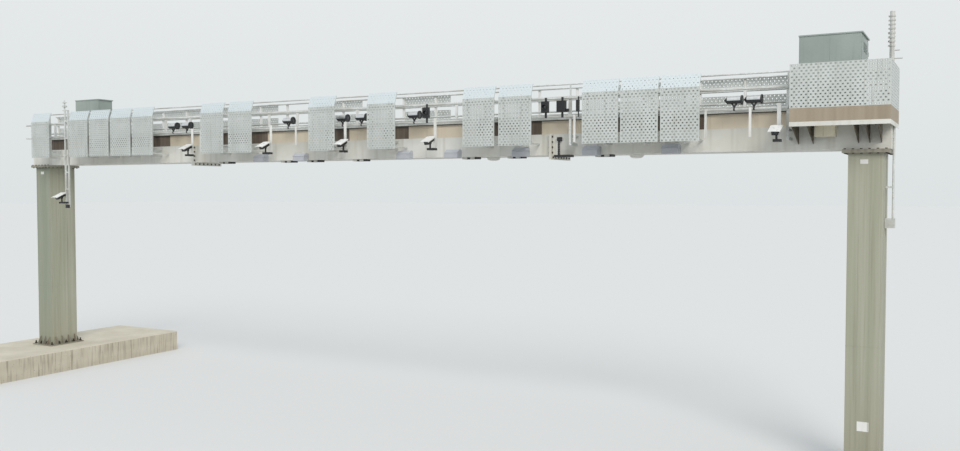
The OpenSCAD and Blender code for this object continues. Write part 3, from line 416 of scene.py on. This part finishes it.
def rubber():
    """Chloroprene rubber: IOR 1.52 and matt, greyer where the sun has chalked it. The chalking is
    drawn 60 mm wide and the moulding lines 5 mm wide."""
    finish = new_finish("rubber")
    place = add(finish, "TexCoord", {}).outputs["Object"]
    chalk = add(finish, "TexNoise", {"Vector": place, "Scale": 16.0, "Detail": 4.0}).outputs[0]
    base = add(finish, "Mix", {SHARE: chalk, UNDER: colour("#2a2a28"), OVER: colour("#55534c")},
               data_type="RGBA").outputs[MIXED]
    rough = add(finish, "MapRange", {"Value": chalk, "To Min": 0.55, "To Max": 0.85}).outputs[0]
    lines = add(finish, "TexNoise", {"Vector": place, "Scale": 200.0, "Detail": 1.0}).outputs[0]
    return close_finish(finish, base, rough, lines, 0.0002, {"IOR": 1.52})


trunk_low, trunk_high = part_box("cable_trunking")
toe_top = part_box("toe_boards")[1].z
strip_l, strip_gap, strip_w, strip_in = 0.495, 0.005, 0.075, 0.015
strip_x = np.arange(trunk_low.x, trunk_high.x - strip_l, strip_l + strip_gap)
strip_y = trunk_low.y + strip_in
new_piece("packing_strips", *blocks((strip_x, strip_x + strip_l), (strip_y, strip_y + strip_w),
                                    (toe_top, trunk_low.z)), rubber(), "black_housing")


# Guard: square posts in white paint that has run at their feet, with tube rails between them. The
# rails, the trunking and the equipment's frames are all in dipped zinc.
dress(worn_paint("post_paint", "#eeefee", "#dfe0dc", "#b4b1a7", runs_from=0.55, run_w=0.05, runs=0.5),
      "guard_posts")
dress(zinc, "guard_rails", "cable_trunking", "equipment_tubes", "tube_stands", "shroud_frames",
      "drop_mast", "end_conduits", "left_antenna")


# Rear panels of the walkway: aluminium sheet 4 mm thick, punched with 40 mm holes in staggered rows
# 67 mm apart. They are screwed to the posts in two bands, and some stretches have none.

def mill_aluminium_painted_light():
    """Aluminium sheet left as rolled: a pale metal, roughness about 0.45, with rolling lines drawn
    15 mm wide up the sheet, clouds half a metre wide, and chalky runs of oxide 55 mm wide. Painted
    shade 10 to 20 mm wide rings each hole, and what faces up is painted lighter and bluish, a painted
    reflection of the sky."""
    finish = new_finish("mill_aluminium_painted_light")
    place = add(finish, "TexCoord", {}).outputs["Object"]
    cloud = add(finish, "TexNoise", {"Vector": place, "Scale": 2.0, "Detail": 5.0}).outputs[0]
    sheet = add(finish, "Mix", {SHARE: cloud, UNDER: colour("#c2c7c3"), OVER: colour("#dfe4e2")},
                data_type="RGBA").outputs[MIXED]
    narrow = add(finish, "Mapping", {"Vector": place, "Scale": (18.0, 18.0, 0.8)}).outputs[0]
    runs = add(finish, "TexNoise", {"Vector": narrow, "Scale": 1.0, "Detail": 3.0}).outputs[0]
    chalky = add(finish, "MapRange", {
        "Value": runs, "From Min": 0.55, "From Max": 0.78, "To Max": 0.6}).outputs[0]
    base = add(finish, "Mix", {SHARE: chalky, UNDER: sheet, OVER: colour("#a5a79d")},
               data_type="RGBA").outputs[MIXED]
    # Painted shade: a dark grey ring round each hole, for the shade seen through the holes
    hole_shade = add(finish, "Attribute", {}, attribute_name="hole_shade").outputs["Fac"]
    rings = add(finish, "MapRange", {"Value": hole_shade, "From Min": 0.40, "To Max": 0.45}).outputs[0]
    ringed = add(finish, "Mix", {SHARE: rings, UNDER: base, OVER: colour("#6f726b")},
                 data_type="RGBA").outputs[MIXED]
    # Painted reflection: faces that look up are mixed towards a light blue-grey, as if they mirrored the sky
    normal = add(finish, "NewGeometry", {}).outputs["Normal"]
    up = add(finish, "SeparateXYZ", {"Vector": normal}).outputs["Z"]
    sky_sheen = add(finish, "MapRange", {"Value": up, "From Min": 0.05, "From Max": 0.30, "To Max": 0.85})
    base = add(finish, "Mix", {SHARE: sky_sheen.outputs[0], UNDER: ringed, OVER: colour("#dae5ea")},
               data_type="RGBA").outputs[MIXED]
    lines = add(finish, "Mapping", {"Vector": place, "Scale": (70.0, 70.0, 1.0)}).outputs[0]
    rolled = add(finish, "TexNoise", {"Vector": lines, "Scale": 1.0, "Detail": 2.0}).outputs[0]
    rough = add(finish, "MapRange", {"Value": rolled, "To Min": 0.36, "To Max": 0.56}).outputs[0]
    return close_finish(finish, base, rough, rolled, 0.0002, {"Metallic": 0.5})


aluminium = mill_aluminium_painted_light()


def punched_sheet(corner, along, up, hole=0.020):
    """One flat sheet on two vectors from its lower corner, with eight-sided holes of radius hole in
    staggered rows. Lengths are counted in half cells: a cell is 2 by 2, and ring point k lies at
    (1, 1) + d, where d goes round the cell's edge, or round the hole in the same direction. Each
    row ends in a plain half cell. A point u along and v up the sheet lies at corner + u * along
    / width + v * up / height. hole_shade, the painted shade round a hole, is 1 there and 0 at the
    cell's edge."""
    pitch, row = 0.101, 0.067
    corner, along, up = np.array(corner, float), np.array(along, float), np.array(up, float)
    width, height = np.linalg.norm(along), np.linalg.norm(up)
    columns, rows = int(width / pitch), round(height / row)
    half_x, half_z = width / (2 * columns + 1), height / (2 * rows)
    edge = np.array([[-1, -1], [0, -1], [1, -1], [1, 0], [1, 1], [0, 1], [-1, 1], [-1, 0]], float)
    scale = np.array([half_x, half_z])
    round_hole = hole * edge / np.linalg.norm(edge, axis=1, keepdims=True)
    ring = np.concatenate([(edge + 1) * scale, scale + round_hole])
    i, j = np.meshgrid(np.arange(columns), np.arange(rows), indexing="ij")
    cells = np.stack([(2 * i + j % 2) * half_x, 2 * j * half_z], -1).reshape(-1, 1, 2)
    flat = (cells + ring).reshape(-1, 2)
    k = np.arange(8)
    quads = np.stack([k, (k + 1) % 8, (k + 1) % 8 + 8, k + 8], -1)
    faces = (16 * np.arange(columns * rows)[:, None, None] + quads).reshape(-1, 4)
    plain = np.array([[0, 0], [1, 0], [1, 1], [0, 1], [1, 2], [0, 2]]) * scale
    j = np.arange(rows)
    start = np.stack([np.where(j % 2, 0, 2 * columns) * half_x, 2 * j * half_z], -1)
    ends = (start[:, None] + plain).reshape(-1, 2)
    end_quads = np.array([[0, 1, 2, 3], [3, 2, 4, 5]])
    end_faces = (6 * np.arange(rows)[:, None, None] + end_quads).reshape(-1, 4) + len(flat)
    hole_shade = np.concatenate([np.tile(np.repeat([0.0, 1.0], 8), columns * rows), np.zeros(len(ends))])
    flat = np.concatenate([flat, ends])
    points = corner + flat[:, :1] / width * along + flat[:, 1:] / height * up
    points = np.concatenate([points, hole_shade[:, None]], 1)
    return points, np.concatenate([faces, end_faces])


def stiffened(panel, thickness):
    """Gives a sheet its thickness, half of it to each side."""
    wall = panel.modifiers.new("thickness", "SOLIDIFY")
    wall.thickness = thickness
    wall.offset = 0.0


beam_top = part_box("right_beam")[1].z
knee_band, top_band = (0.600, 0.890), (1.110, 1.320)
panelled = [(-0.52, 10.50), (12.00, 13.90), (15.50, 17.10), (22.00, 29.20)]
for side in ("left", "middle", "right"):
    low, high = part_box("rear_panels_" + side)
    ends = [(max(x0, low.x), min(x1, high.x)) for x0, x1 in panelled]
    y = (low.y + high.y) / 2
    bands = [punched_sheet((x0, y, beam_top + foot), (x1 - x0, 0, 0), (0, 0, head - foot))
             for x0, x1 in ends if x1 > x0 for foot, head in (knee_band, top_band)]
    stiffened(new_piece("rear_sheets_" + side, *joined(*bands), aluminium, "perforated_aluminium",
                        "rear_panels_" + side), high.y - low.y)


# Shrouds: fourteen sheets of the same aluminium, punched all over, folded back at the top and
# flanged down both sides, and bolted to frames before the beam.
sheet_t, small_hole = 0.004, 0.016


def stretches(node):
    """The lowest and highest corners of a frame piece's parts that stand apart along X. Its
    triangles are sorted by their low X, and a part ends where the next begins past the highest X
    so far by more than a gap of 10 mm."""
    gap = 0.010
    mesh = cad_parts[node].data
    mesh.calc_loop_triangles()
    points = np.zeros(3 * len(mesh.vertices), np.float32)
    mesh.vertices.foreach_get("co", points)
    corners = np.zeros(3 * len(mesh.loop_triangles), np.int32)
    mesh.loop_triangles.foreach_get("vertices", corners)
    triangles = points.reshape(-1, 3)[corners.reshape(-1, 3)]
    triangles = triangles[np.argsort(triangles[:, :, 0].min(1))]
    reach = np.maximum.accumulate(triangles[:, :, 0].max(1))
    breaks = np.flatnonzero(triangles[1:, :, 0].min(1) > reach[:-1] + gap) + 1
    return np.array([(part.min((0, 1)), part.max((0, 1))) for part in np.split(triangles, breaks)])


def shroud(low, high):
    """A sheet up to its fold and on to its head, and a flange down each side, which is the strip
    between the sheet's back and a line one flange depth behind it."""
    lean_h, lean, flange = 0.310, 0.107, 0.030
    x0, x1 = low[0], high[0]
    y = low[1] + sheet_t / 2
    spine = [(y, low[2]), (y, high[2] - lean_h), (y + lean, high[2])]
    bands = [punched_sheet((x0, *foot), (x1 - x0, 0, 0), (0, head[0] - foot[0], head[1] - foot[1]),
                           small_hole) for foot, head in zip(spine, spine[1:])]
    sides = [[(x, y + depth, z, 0.0) for y, z in spine for depth in (sheet_t / 2, flange - sheet_t)]
             for x in (x0 + sheet_t / 2, x1 - sheet_t / 2)]
    strips = np.array([[0, 1, 3, 2], [2, 3, 5, 4]])
    return joined(*bands, *[(np.array(side), strips) for side in sides])


for i in range(1, 8):
    sheets = [shroud(*ends) for ends in stretches("shrouds_%d" % i)]
    stiffened(new_piece("shroud_sheets_%d" % i, *joined(*sheets), aluminium, "perforated_aluminium",
                        "shrouds_%d" % i), sheet_t)


# Panels of the platform: the same punched sheet on the front and both ends, as high as the guard,
# and screwed to the posts behind it.
low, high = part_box("platform_panels")
beam_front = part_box("middle_beam")[0].y
x0, x1, y = low.x + sheet_t / 2, high.x - sheet_t / 2, low.y + sheet_t / 2
end_y, tall = y + sheet_t, (0, 0, high.z - low.z)
stiffened(new_piece("platform_sheets", *joined(
    punched_sheet((low.x, y, low.z), (high.x - low.x, 0, 0), tall, small_hole),
    punched_sheet((x1, end_y, low.z), (0, high.y - end_y, 0), tall, small_hole),
    punched_sheet((x0, end_y, low.z), (0, beam_front - end_y, 0), tall, small_hole)),
    aluminium, "perforated_aluminium", "platform_panels"), sheet_t)


# Rail over the equipment: a thin tube in dipped zinc. It stands on an upright from the top of each
# of the highest stands, which carry the two equipment tubes.
rail_z, rail_r, rail_in, upright = 9.330, 0.020, 0.091, 0.034
# Parts that end less than this apart count as level
level = 0.001
stand_low, stand_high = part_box("tube_stands")
stands = stretches("tube_stands")
highest = stands[stands[:, 1, 2] > stand_high.z - level]
upright_x = highest[:, :, 0].mean(1)
rail_l, rail_y = stand_high.x - stand_low.x, stand_low.y + rail_in
tube = [(0.0, 0.0), (rail_r, 0.0), (rail_r, rail_l), (0.0, rail_l)]
new_piece("equipment_rail", *joined(
    turned_surfaces(tube, [(stand_low.x, rail_y, rail_z)], (1, 0, 0), sides=12),
    blocks((upright_x - upright / 2, upright_x + upright / 2),
           (rail_y - upright / 2, rail_y + upright / 2), (stand_high.z, rail_z - rail_r / 2))),
    zinc, "galvanized_steel")


# Posts and domes: the posts that carry the hooded cameras are steel, and the domes under the beam
# are glass fibre, both in smooth white enamel.
dress(white_enamel, "carrier_posts", "dome_sensors")


# Mast at the right end: a painted tube, with aerial clamps every 95 mm on its upper third. Each is
# a split ring with an ear, in dipped zinc.
mast_paint = worn_paint("mast_paint", "#d6d7d4", "#c2c1ba", "#94907f", runs_from=0.5, run_w=0.04, runs=0.6)
dress(mast_paint, "right_mast")
mast_r, mast_in, mast_back = 0.055, 0.150, 0.330
mast_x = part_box("platform_floor")[1].x - mast_in
mast_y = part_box("right_beam")[1].y - mast_back
mast_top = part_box("right_mast")[1].z
clamp_h, clamp_pitch, lowest, uppermost, ear = 0.034, 0.095, 0.72, 0.10, 0.035
inner_r, outer_r = mast_r - 0.002, mast_r + 0.013
clamp_z = np.arange(mast_top - lowest, mast_top - uppermost, clamp_pitch)
clamps = np.stack(np.broadcast_arrays(mast_x, mast_y, clamp_z), -1)
ring = [(inner_r, 0.0), (outer_r, 0.0), (outer_r, clamp_h), (inner_r, clamp_h)]
new_piece("mast_clamps", *joined(
    turned_surfaces(ring, clamps, (0, 0, 1)),
    blocks((mast_x - mast_r - ear, mast_x - mast_r), (mast_y - ear / 2, mast_y + ear / 2),
           (clamp_z, clamp_z + clamp_h))), zinc, "galvanized_steel")


# Long cameras: a black housing with a bright stainless sunshield over the upper half of its
# barrel, held off it by the strap ring, and a glass in the recess of its round front plate.

def black_coat():
    """Black powder coat on aluminium: IOR 1.5 and half rough, with a grain drawn 8 mm wide, four
    times its real size, and grey dust on what faces up."""
    finish = new_finish("black_coat")
    place = add(finish, "TexCoord", {}).outputs["Object"]
    normal = add(finish, "NewGeometry", {}).outputs["Normal"]
    up = add(finish, "SeparateXYZ", {"Vector": normal}).outputs["Z"]
    cloud = add(finish, "TexNoise", {"Vector": place, "Scale": 9.0, "Detail": 4.0}).outputs[0]
    settled = add(finish, "Math", {0: up, 1: cloud}, operation="MULTIPLY").outputs[0]
    dusty = add(finish, "MapRange", {
        "Value": settled, "From Min": 0.1, "From Max": 0.7, "To Max": 0.6}).outputs[0]
    base = add(finish, "Mix", {SHARE: dusty, UNDER: colour("#26282a"), OVER: colour("#7b7a73")},
               data_type="RGBA").outputs[MIXED]
    rough = add(finish, "MapRange", {"Value": cloud, "To Min": 0.38, "To Max": 0.62}).outputs[0]
    grain = add(finish, "TexNoise", {"Vector": place, "Scale": 120.0, "Detail": 2.0}).outputs[0]
    return close_finish(finish, base, rough, grain, 0.0004, {"IOR": 1.5})


def brushed_stainless():
    """Brushed stainless steel: a bright metal, roughness about 0.3, brushed round the barrel in
    lines drawn 4 mm wide, with faint water marks."""
    finish = new_finish("brushed_stainless")
    place = add(finish, "TexCoord", {}).outputs["Object"]
    along = add(finish, "Mapping", {"Vector": place, "Scale": (250.0, 4.0, 4.0)}).outputs[0]
    lines = add(finish, "TexNoise", {"Vector": along, "Scale": 1.0, "Detail": 2.0}).outputs[0]
    marks = add(finish, "TexNoise", {"Vector": place, "Scale": 14.0, "Detail": 4.0}).outputs[0]
    base = add(finish, "Mix", {SHARE: marks, UNDER: colour("#c4c7c9"), OVER: colour("#e8eaeb")},
               data_type="RGBA").outputs[MIXED]
    rough = add(finish, "MapRange", {"Value": marks, "To Min": 0.22, "To Max": 0.42}).outputs[0]
    return close_finish(finish, base, rough, lines, 0.0001, {"Metallic": 1.0})


def coated_glass():
    """Coated front glass over a dark lens: smooth, IOR 1.52, nearly black, with a film of dust."""
    finish = new_finish("coated_glass")
    place = add(finish, "TexCoord", {}).outputs["Object"]
    film = add(finish, "TexNoise", {"Vector": place, "Scale": 30.0, "Detail": 4.0}).outputs[0]
    base = add(finish, "Mix", {SHARE: film, UNDER: colour("#07090c"), OVER: colour("#1d232b")},
               data_type="RGBA").outputs[MIXED]
    rough = add(finish, "MapRange", {"Value": film, "To Min": 0.03, "To Max": 0.18}).outputs[0]
    return close_finish(finish, base, rough, film, 0.00005, {"IOR": 1.52, "Coat Weight": 0.6})


black = black_coat()
glass = coated_glass()
dress(black, "barrel_cameras")
barrels = stretches("barrel_cameras")
barrel_r, plate_r, plate_t, tail = 0.085, 0.115, 0.028, 0.070
axis_y = barrels[:, :, 1].mean(1)
axis_z = barrels[:, 1, 2] - plate_r
shield_from, shield_to, shield_gap, shield_t = 0.010, 0.322, 0.009, 0.003


def shields():
    """Sheets over the upper half of each barrel. A point at angle a, from one side over the top to
    the other, lies at its axis + radius * (cos a across, sin a up)."""
    around, radius = 13, barrel_r + shield_gap
    a = np.linspace(np.radians(-8), np.radians(188), around)
    across = np.stack([np.zeros(around), radius * np.cos(a), radius * np.sin(a)], -1)
    along = np.array([(shield_from, 0.0, 0.0), (shield_to, 0.0, 0.0)])
    tails = np.stack([barrels[:, 0, 0] + tail, axis_y, axis_z], -1)
    points = tails[:, None, None] + along[:, None] + across
    k = np.arange(around - 1)
    quads = np.stack([k, k + 1, k + 1 + around, k + around], -1)
    first = 2 * around * np.arange(len(barrels))
    return points.reshape(-1, 3), (first[:, None, None] + quads).reshape(-1, 4)


stiffened(new_piece("barrel_shields", *shields(), brushed_stainless(), "galvanized_steel"), shield_t)


def lens(radius, rise):
    """The profile of a round glass: a rim, and a dome whose height is rise * (1 - (r / radius) ** 2)."""
    rim = 0.002
    r = np.linspace(radius, 0, 7)
    return [(0.0, -rim), (radius, -rim), *zip(r, rise * (1 - (r / radius) ** 2))]


glass_r, glass_rise, glass_out = 0.068, 0.005, 0.019
glasses = np.stack([barrels[:, 1, 0] - plate_t + glass_out, axis_y, axis_z], -1)
new_piece("barrel_glasses", *turned_surfaces(lens(glass_r, glass_rise), glasses, (1, 0, 0), sides=32),
          glass, "black_housing")


# Hooded cameras and lamps: cast housings in black powder coat on a tilt head. Each camera has a
# pane with a raised ring round its lens, and a sheet hood over it in white enamel.
dress(black, "hooded_cameras", "drop_camera", "floodlights")
tilt = Euler((np.radians(24), 0, 0)).to_matrix()
# From the low corner of a cover's box to the head that its camera tilts on
head_place = Vector((0.140, 0.3397, 0.0388))
# Middle of the pane, from that head
pane_middle = Vector((0, -0.182, 0.080))
pane_w, pane_h, pane_t = 0.118, 0.088, 0.004
hood_t = 0.003


def tilted(points, low):
    """Points round a camera's head, turned by its tilt and placed from its cover's low corner."""
    return points @ np.array(tilt).T + np.array(Vector(low) + head_place)


def camera_glass(low):
    """A pane, and a ring and a lens on it."""
    size = Vector((pane_w, pane_t, pane_h)) / 2
    looks = pane_middle - Vector((0, pane_t / 2, 0))
    ring = [(0.030, 0.0), (0.033, 0.004), (0.036, 0.004), (0.039, 0.0)]
    lens_r = 0.027
    points, faces = joined(box_surfaces([pane_middle - size], [pane_middle + size]),
                           turned_surfaces(ring, [looks], (0, -1, 0)),
                           turned_surfaces(lens(lens_r, glass_rise), [looks], (0, -1, 0)))
    return tilted(points, low), faces


def hood(low):
    """The sheet over one camera, from its tail to its brow. Across it, the top is a low arch, where
    z = top - drop * (2 x / width) ** 2, and a skirt hangs from each edge."""
    width, tail, brow, top, drop, skirt = 0.277, 0.128, -0.302, 0.155, 0.008, 0.024
    x = np.linspace(-width / 2, width / 2, 11)
    arch = np.stack([x, top - drop * (2 * x / width) ** 2], -1)
    outline = np.concatenate([arch[:1] - [0, skirt], arch, arch[-1:] - [0, skirt]])
    points = np.stack([np.repeat(outline[:, 0], 2), np.tile([tail, brow], len(outline)),
                       np.repeat(outline[:, 1], 2)], -1)
    k = 2 * np.arange(len(outline) - 1)
    return tilted(points, low), np.stack([k, k + 1, k + 3, k + 2], -1)


covers = stretches("camera_covers")[:, 0]
stiffened(new_piece("camera_hoods", *joined(*[hood(low) for low in covers]), white_enamel, "white_cover",
                    "camera_covers"), hood_t)
new_piece("camera_glasses", *joined(*[camera_glass(low) for low in covers]), glass, "black_housing")


# Lens units: those of the lamps that reach furthest forward. Each has a deep round glass, set back
# in its bezel.
unit_r, unit_rise, unit_in, unit_up = 0.058, 0.010, 0.048, 0.285
lamps = stretches("floodlights")
foremost = lamps[:, 0, 1].min()
units = lamps[lamps[:, 0, 1] < foremost + level]
bezels = np.stack(np.broadcast_arrays(
    units[:, :, 0].mean(1), foremost + unit_in, units[:, 0, 2] + unit_up), -1)
new_piece("lens_unit_glasses", *turned_surfaces(lens(unit_r, unit_rise), bezels, (0, -1, 0), sides=32),
          glass, "black_housing")


# Scanners: housings of moulded glass-filled nylon, blue-grey and matt, screwed to the beam's lower
# edge. The front is upright below and slopes back above, and a rib runs round it at the joint.

def moulded_nylon():
    """Glass-filled nylon: IOR 1.53, matt, with a moulded grain drawn 6 mm wide, five times its real
    size, and a thin grey film of dirt."""
    finish = new_finish("moulded_nylon")
    place = add(finish, "TexCoord", {}).outputs["Object"]
    film = add(finish, "TexNoise", {"Vector": place, "Scale": 4.0, "Detail": 5.0}).outputs[0]
    base = add(finish, "Mix", {SHARE: film, UNDER: colour("#c5c9d1"), OVER: colour("#b2b6bd")},
               data_type="RGBA").outputs[MIXED]
    rough = add(finish, "MapRange", {"Value": film, "To Min": 0.45, "To Max": 0.7}).outputs[0]
    grain = add(finish, "TexNoise", {"Vector": place, "Scale": 160.0, "Detail": 1.0}).outputs[0]
    return close_finish(finish, base, rough, grain, 0.0004, {"IOR": 1.53})


scanners = stretches("scanner_boxes")
front_in, foot_up, joint_up, end_in, slope = 0.012, 0.055, 0.190, 0.015, 0.110
rib_h, rib_in, rib_out, scanner_edge = 0.014, 0.008, 0.008, 0.006
(_, low_y, low_z), (_, back, top_z) = scanners[0]
front, foot_z, joint_z = low_y + front_in, low_z + foot_up, low_z + joint_up


def housings(inset, y0, z0, z1, lie_back=0.0):
    """One box at each scanner, in from its ends by the inset. The edge between its front and its
    top lies back."""
    points, faces = blocks((scanners[:, 0, 0] + inset, scanners[:, 1, 0] - inset), (y0, back), (z0, z1))
    points.reshape(-1, 8, 3)[:, [1, 5], 1] += lie_back
    return points, faces


def rounded(piece, radius):
    """Rounds a piece's corners."""
    edge = piece.modifiers.new("edge", "BEVEL")
    edge.width = radius
    edge.segments = 3
    edge.limit_method = "ANGLE"


rounded(new_piece("scanner_housings", *joined(
    housings(end_in, front, foot_z, joint_z),
    housings(rib_in, front - rib_out, joint_z, joint_z + rib_h),
    housings(end_in, front, joint_z + rib_h, top_z, slope)),
    moulded_nylon(), "blue_grey_housing", "scanner_boxes"), scanner_edge)


# Slot sensors: black housings under the beam, each with a white front cover in two halves beside
# a dark window, and one more on a ridged conduit at the right splice.
dress(black, "slot_sensors")
cover_t, overlap, brow = 0.004, 0.001, 0.012
window_from, window_to, cover_to = 0.36, 0.56, 0.88
# The housings under the beam are flatter than this, and the one at the splice stands upright
flat_h = 0.1
sensors = stretches("slot_sensors")
slots = sensors[sensors[:, 1, 2] - sensors[:, 0, 2] < flat_h]
slot_h = slots[0, 1, 2] - slots[0, 0, 2]


def cover_parts(share_from, share_to, drop):
    """One plate before each housing, between two shares of its length, from its top down by the
    drop, which ends at its foot or at the brow over the window."""
    low, high = slots[:, 0], slots[:, 1]
    ends = [low[:, 0] + share * (high - low)[:, 0] for share in (share_from, share_to)]
    return blocks(ends, (low[:, 1] - cover_t, low[:, 1] + overlap), (high[:, 2] - drop, high[:, 2]))


new_piece("slot_covers", *joined(
    cover_parts(0.0, window_from, slot_h), cover_parts(window_from, window_to, brow),
    cover_parts(window_to, cover_to, slot_h)), mast_paint, "white_cover")


# Cabinets: folded aluminium sheet, powder coated grey-green, on a recessed base. Two sheets meet
# at a seam on the front, and a door with louvres, hinges and a handle closes the right side.
cabinet_coat = worn_paint("cabinet_coat", "#a2ada8", "#95a09b", "#868f89", run_w=0.09, runs=0.5, rough=0.45)


def cabinet(node):
    """Boxes for one cabinet inside its node's box. Its walls are the box from x0 to x1, from y0 to
    y1 and from base to lid, and the other parts stand under, on and over them."""
    low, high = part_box(node)
    x0, x1, y0, y1 = low.x + 0.105, high.x - 0.036, low.y + 0.045, high.y - 0.030
    base, lid = low.z + 0.080, high.z - 0.045
    walls = blocks((x0, x1), (y0, y1), (base, lid))
    recess = 0.020
    foot = blocks((x0 + recess, x1 - recess), (y0 + recess, y1 - recess), (low.z, base))
    eave_left, eave_right, eave_front, eave_back, lid_h = 0.012, 0.032, 0.016, 0.028, 0.034
    top = blocks((x0 - eave_left, x1 + eave_right), (y0 - eave_front, y1 + eave_back), (lid, lid + lid_h))
    seam, seam_w, sheet_in, sheet_out, sheet_end = (x0 + x1) / 2, 0.006, 0.006, 0.004, 0.010
    starts = np.array([x0 + sheet_in, seam + seam_w / 2])
    stops = np.array([seam - seam_w / 2, x1 - sheet_in])
    sheets = blocks((starts, stops), (y0 - sheet_out, y0), (base + sheet_end, lid - sheet_end))
    door_in, door_x = 0.060, x1 + 0.012
    door = blocks((x1, door_x), (y0 + door_in, y1 - door_in), (base + door_in, lid - door_in))
    handle_y, handle_w, handle_h, handle_out = y0 + 0.120, 0.030, 0.160, 0.016
    handle_z = (base + lid - handle_h) / 2
    handle = blocks((door_x, door_x + handle_out), (handle_y, handle_y + handle_w),
                    (handle_z, handle_z + handle_h))
    louvre_in, louvre_h, louvre_out = 0.300, 0.012, 0.008
    louvre_z = np.linspace(lid - 0.180, lid - 0.372, 7)
    louvres = blocks((door_x, door_x + louvre_out), (y0 + louvre_in, y1 - louvre_in),
                     (louvre_z, louvre_z + louvre_h))
    hinge_y, hinge_w, hinge_h, hinge_out = y1 - 0.062, 0.020, 0.090, 0.022
    hinge_z = base + (lid - base) * np.array([0.15, 0.5, 0.8])
    hinges = blocks((x1, x1 + hinge_out), (hinge_y, hinge_y + hinge_w), (hinge_z, hinge_z + hinge_h))
    return joined(foot, walls, sheets, door, handle, top, louvres, hinges)


cabinet_edge = 0.003
for node in ("left_cabinet", "right_cabinet"):
    rounded(new_piece(node + "_sheets", *cabinet(node), cabinet_coat, "cabinet_paint", node), cabinet_edge)


# Right platform: a floor plate with an edge channel on tapered gussets, in the beam's paint. The
# gussets carry painted shade: their paint is a dark brown-grey for the shadow under the platform.
dress(beam_paint, "platform_floor")
# Painted shade: the gussets' dark brown-grey stands for the shadow under the platform
dress(worn_paint("gusset_painted_shade", "#6d6758", "#575041", "#3f392c", runs_from=0.45, run_w=0.08, rough=0.7),
      "platform_gussets")


# Junction box: glass-fibre polyester, screwed to the beam between the gussets. Once white, it has
# yellowed and chalked in the sun.
dress(worn_paint("aged_polyester", "#e6dfc9", "#d8d0b9", "#a09a84", runs_from=0.6, run_w=0.05, rough=0.6),
      "junction_box")


# Floor and light of the picture: a plain pale floor, a broad soft key from the front right and a
# dome of light that is brighter overhead. The camera sees both as pale, and they send less light up.

def seen_directly(finish):
    """1 for what the camera sees, straight, mirrored or through glass, and 0 for other rays."""
    rays = add(finish, "LightPath", {})
    mirrored = add(finish, "Math", {0: rays.outputs["Is Camera Ray"], 1: rays.outputs["Is Glossy Ray"]},
                   operation="MAXIMUM")
    return add(finish, "Math", {0: mirrored.outputs[0], 1: rays.outputs["Is Transmission Ray"]},
               operation="MAXIMUM").outputs[0]


half = 400.0
floor_mesh = bpy.data.meshes.new("floor")
floor_corners = [(-half, -half, 0), (half, -half, 0), (half, half, 0), (-half, half, 0)]
floor_mesh.from_pydata(floor_corners, [], [(0, 1, 2, 3)])
floor = bpy.data.objects.new("floor", floor_mesh)
bpy.context.scene.collection.objects.link(floor)
floor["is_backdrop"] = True
pale_floor = new_finish("pale_floor")
floor_colour = add(pale_floor, "Mix", {
    SHARE: seen_directly(pale_floor), UNDER: colour("#b5b4b0"), OVER: colour("#dcdcda")},
    data_type="RGBA").outputs[MIXED]
matt = add(pale_floor, "BsdfDiffuse", {"Color": floor_colour})
add(pale_floor, "OutputMaterial", {"Surface": matt.outputs[0]})
floor_mesh.materials.append(pale_floor)

world = bpy.data.worlds.new("studio")
world.use_nodes = True
world.node_tree.nodes.clear()
direction = add(world, "TexCoord", {}).outputs["Generated"]
upward = add(world, "SeparateXYZ", {"Vector": direction}).outputs["Z"]
overhead = add(world, "MapRange", {"Value": upward, "From Min": -0.1, "From Max": 0.9})
light = add(world, "Mix", {SHARE: overhead.outputs[0], UNDER: colour("#cbcccc"), OVER: colour("#eaf1f8")},
            data_type="RGBA").outputs[MIXED]
backdrop = add(world, "Mix", {SHARE: overhead.outputs[0], UNDER: colour("#d9dfe0"), OVER: colour("#ffffff")},
               data_type="RGBA").outputs[MIXED]
shown = add(world, "Mix", {SHARE: seen_directly(world), UNDER: light, OVER: backdrop},
            data_type="RGBA").outputs[MIXED]
dome = add(world, "Background", {"Color": shown, "Strength": 1.0})
add(world, "OutputWorld", {"Surface": dome.outputs[0]})
bpy.context.scene.world = world

key = bpy.data.lights.new("key", "SUN")
key.energy = 1.6
key.angle = np.radians(30)
key.color = colour("#fffaf3")[:3]
key_lamp = bpy.data.objects.new("key", key)
key_lamp.rotation_euler = Euler((np.radians(58), 0, np.radians(38)))
bpy.context.scene.collection.objects.link(key_lamp)


# Camera: at the photograph's viewing angle, 6.6 m above the floor, 23 m before the beam and 2.5 m to
# the right of the right column.
camera = bpy.data.cameras.new("camera")
camera.sensor_width = 36.0
camera.lens = 34.84
camera.clip_end = 2000.0
camera_object = bpy.data.objects.new("camera", camera)
camera_object.location = (31.11, -23.30, 6.58)
camera_object.rotation_euler = Euler((np.radians(87.84), 0, np.radians(28.65)))
bpy.context.scene.collection.objects.link(camera_object)
bpy.context.scene.camera = camera_object
bpy.context.scene.view_settings.view_transform = "Standard"

low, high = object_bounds()
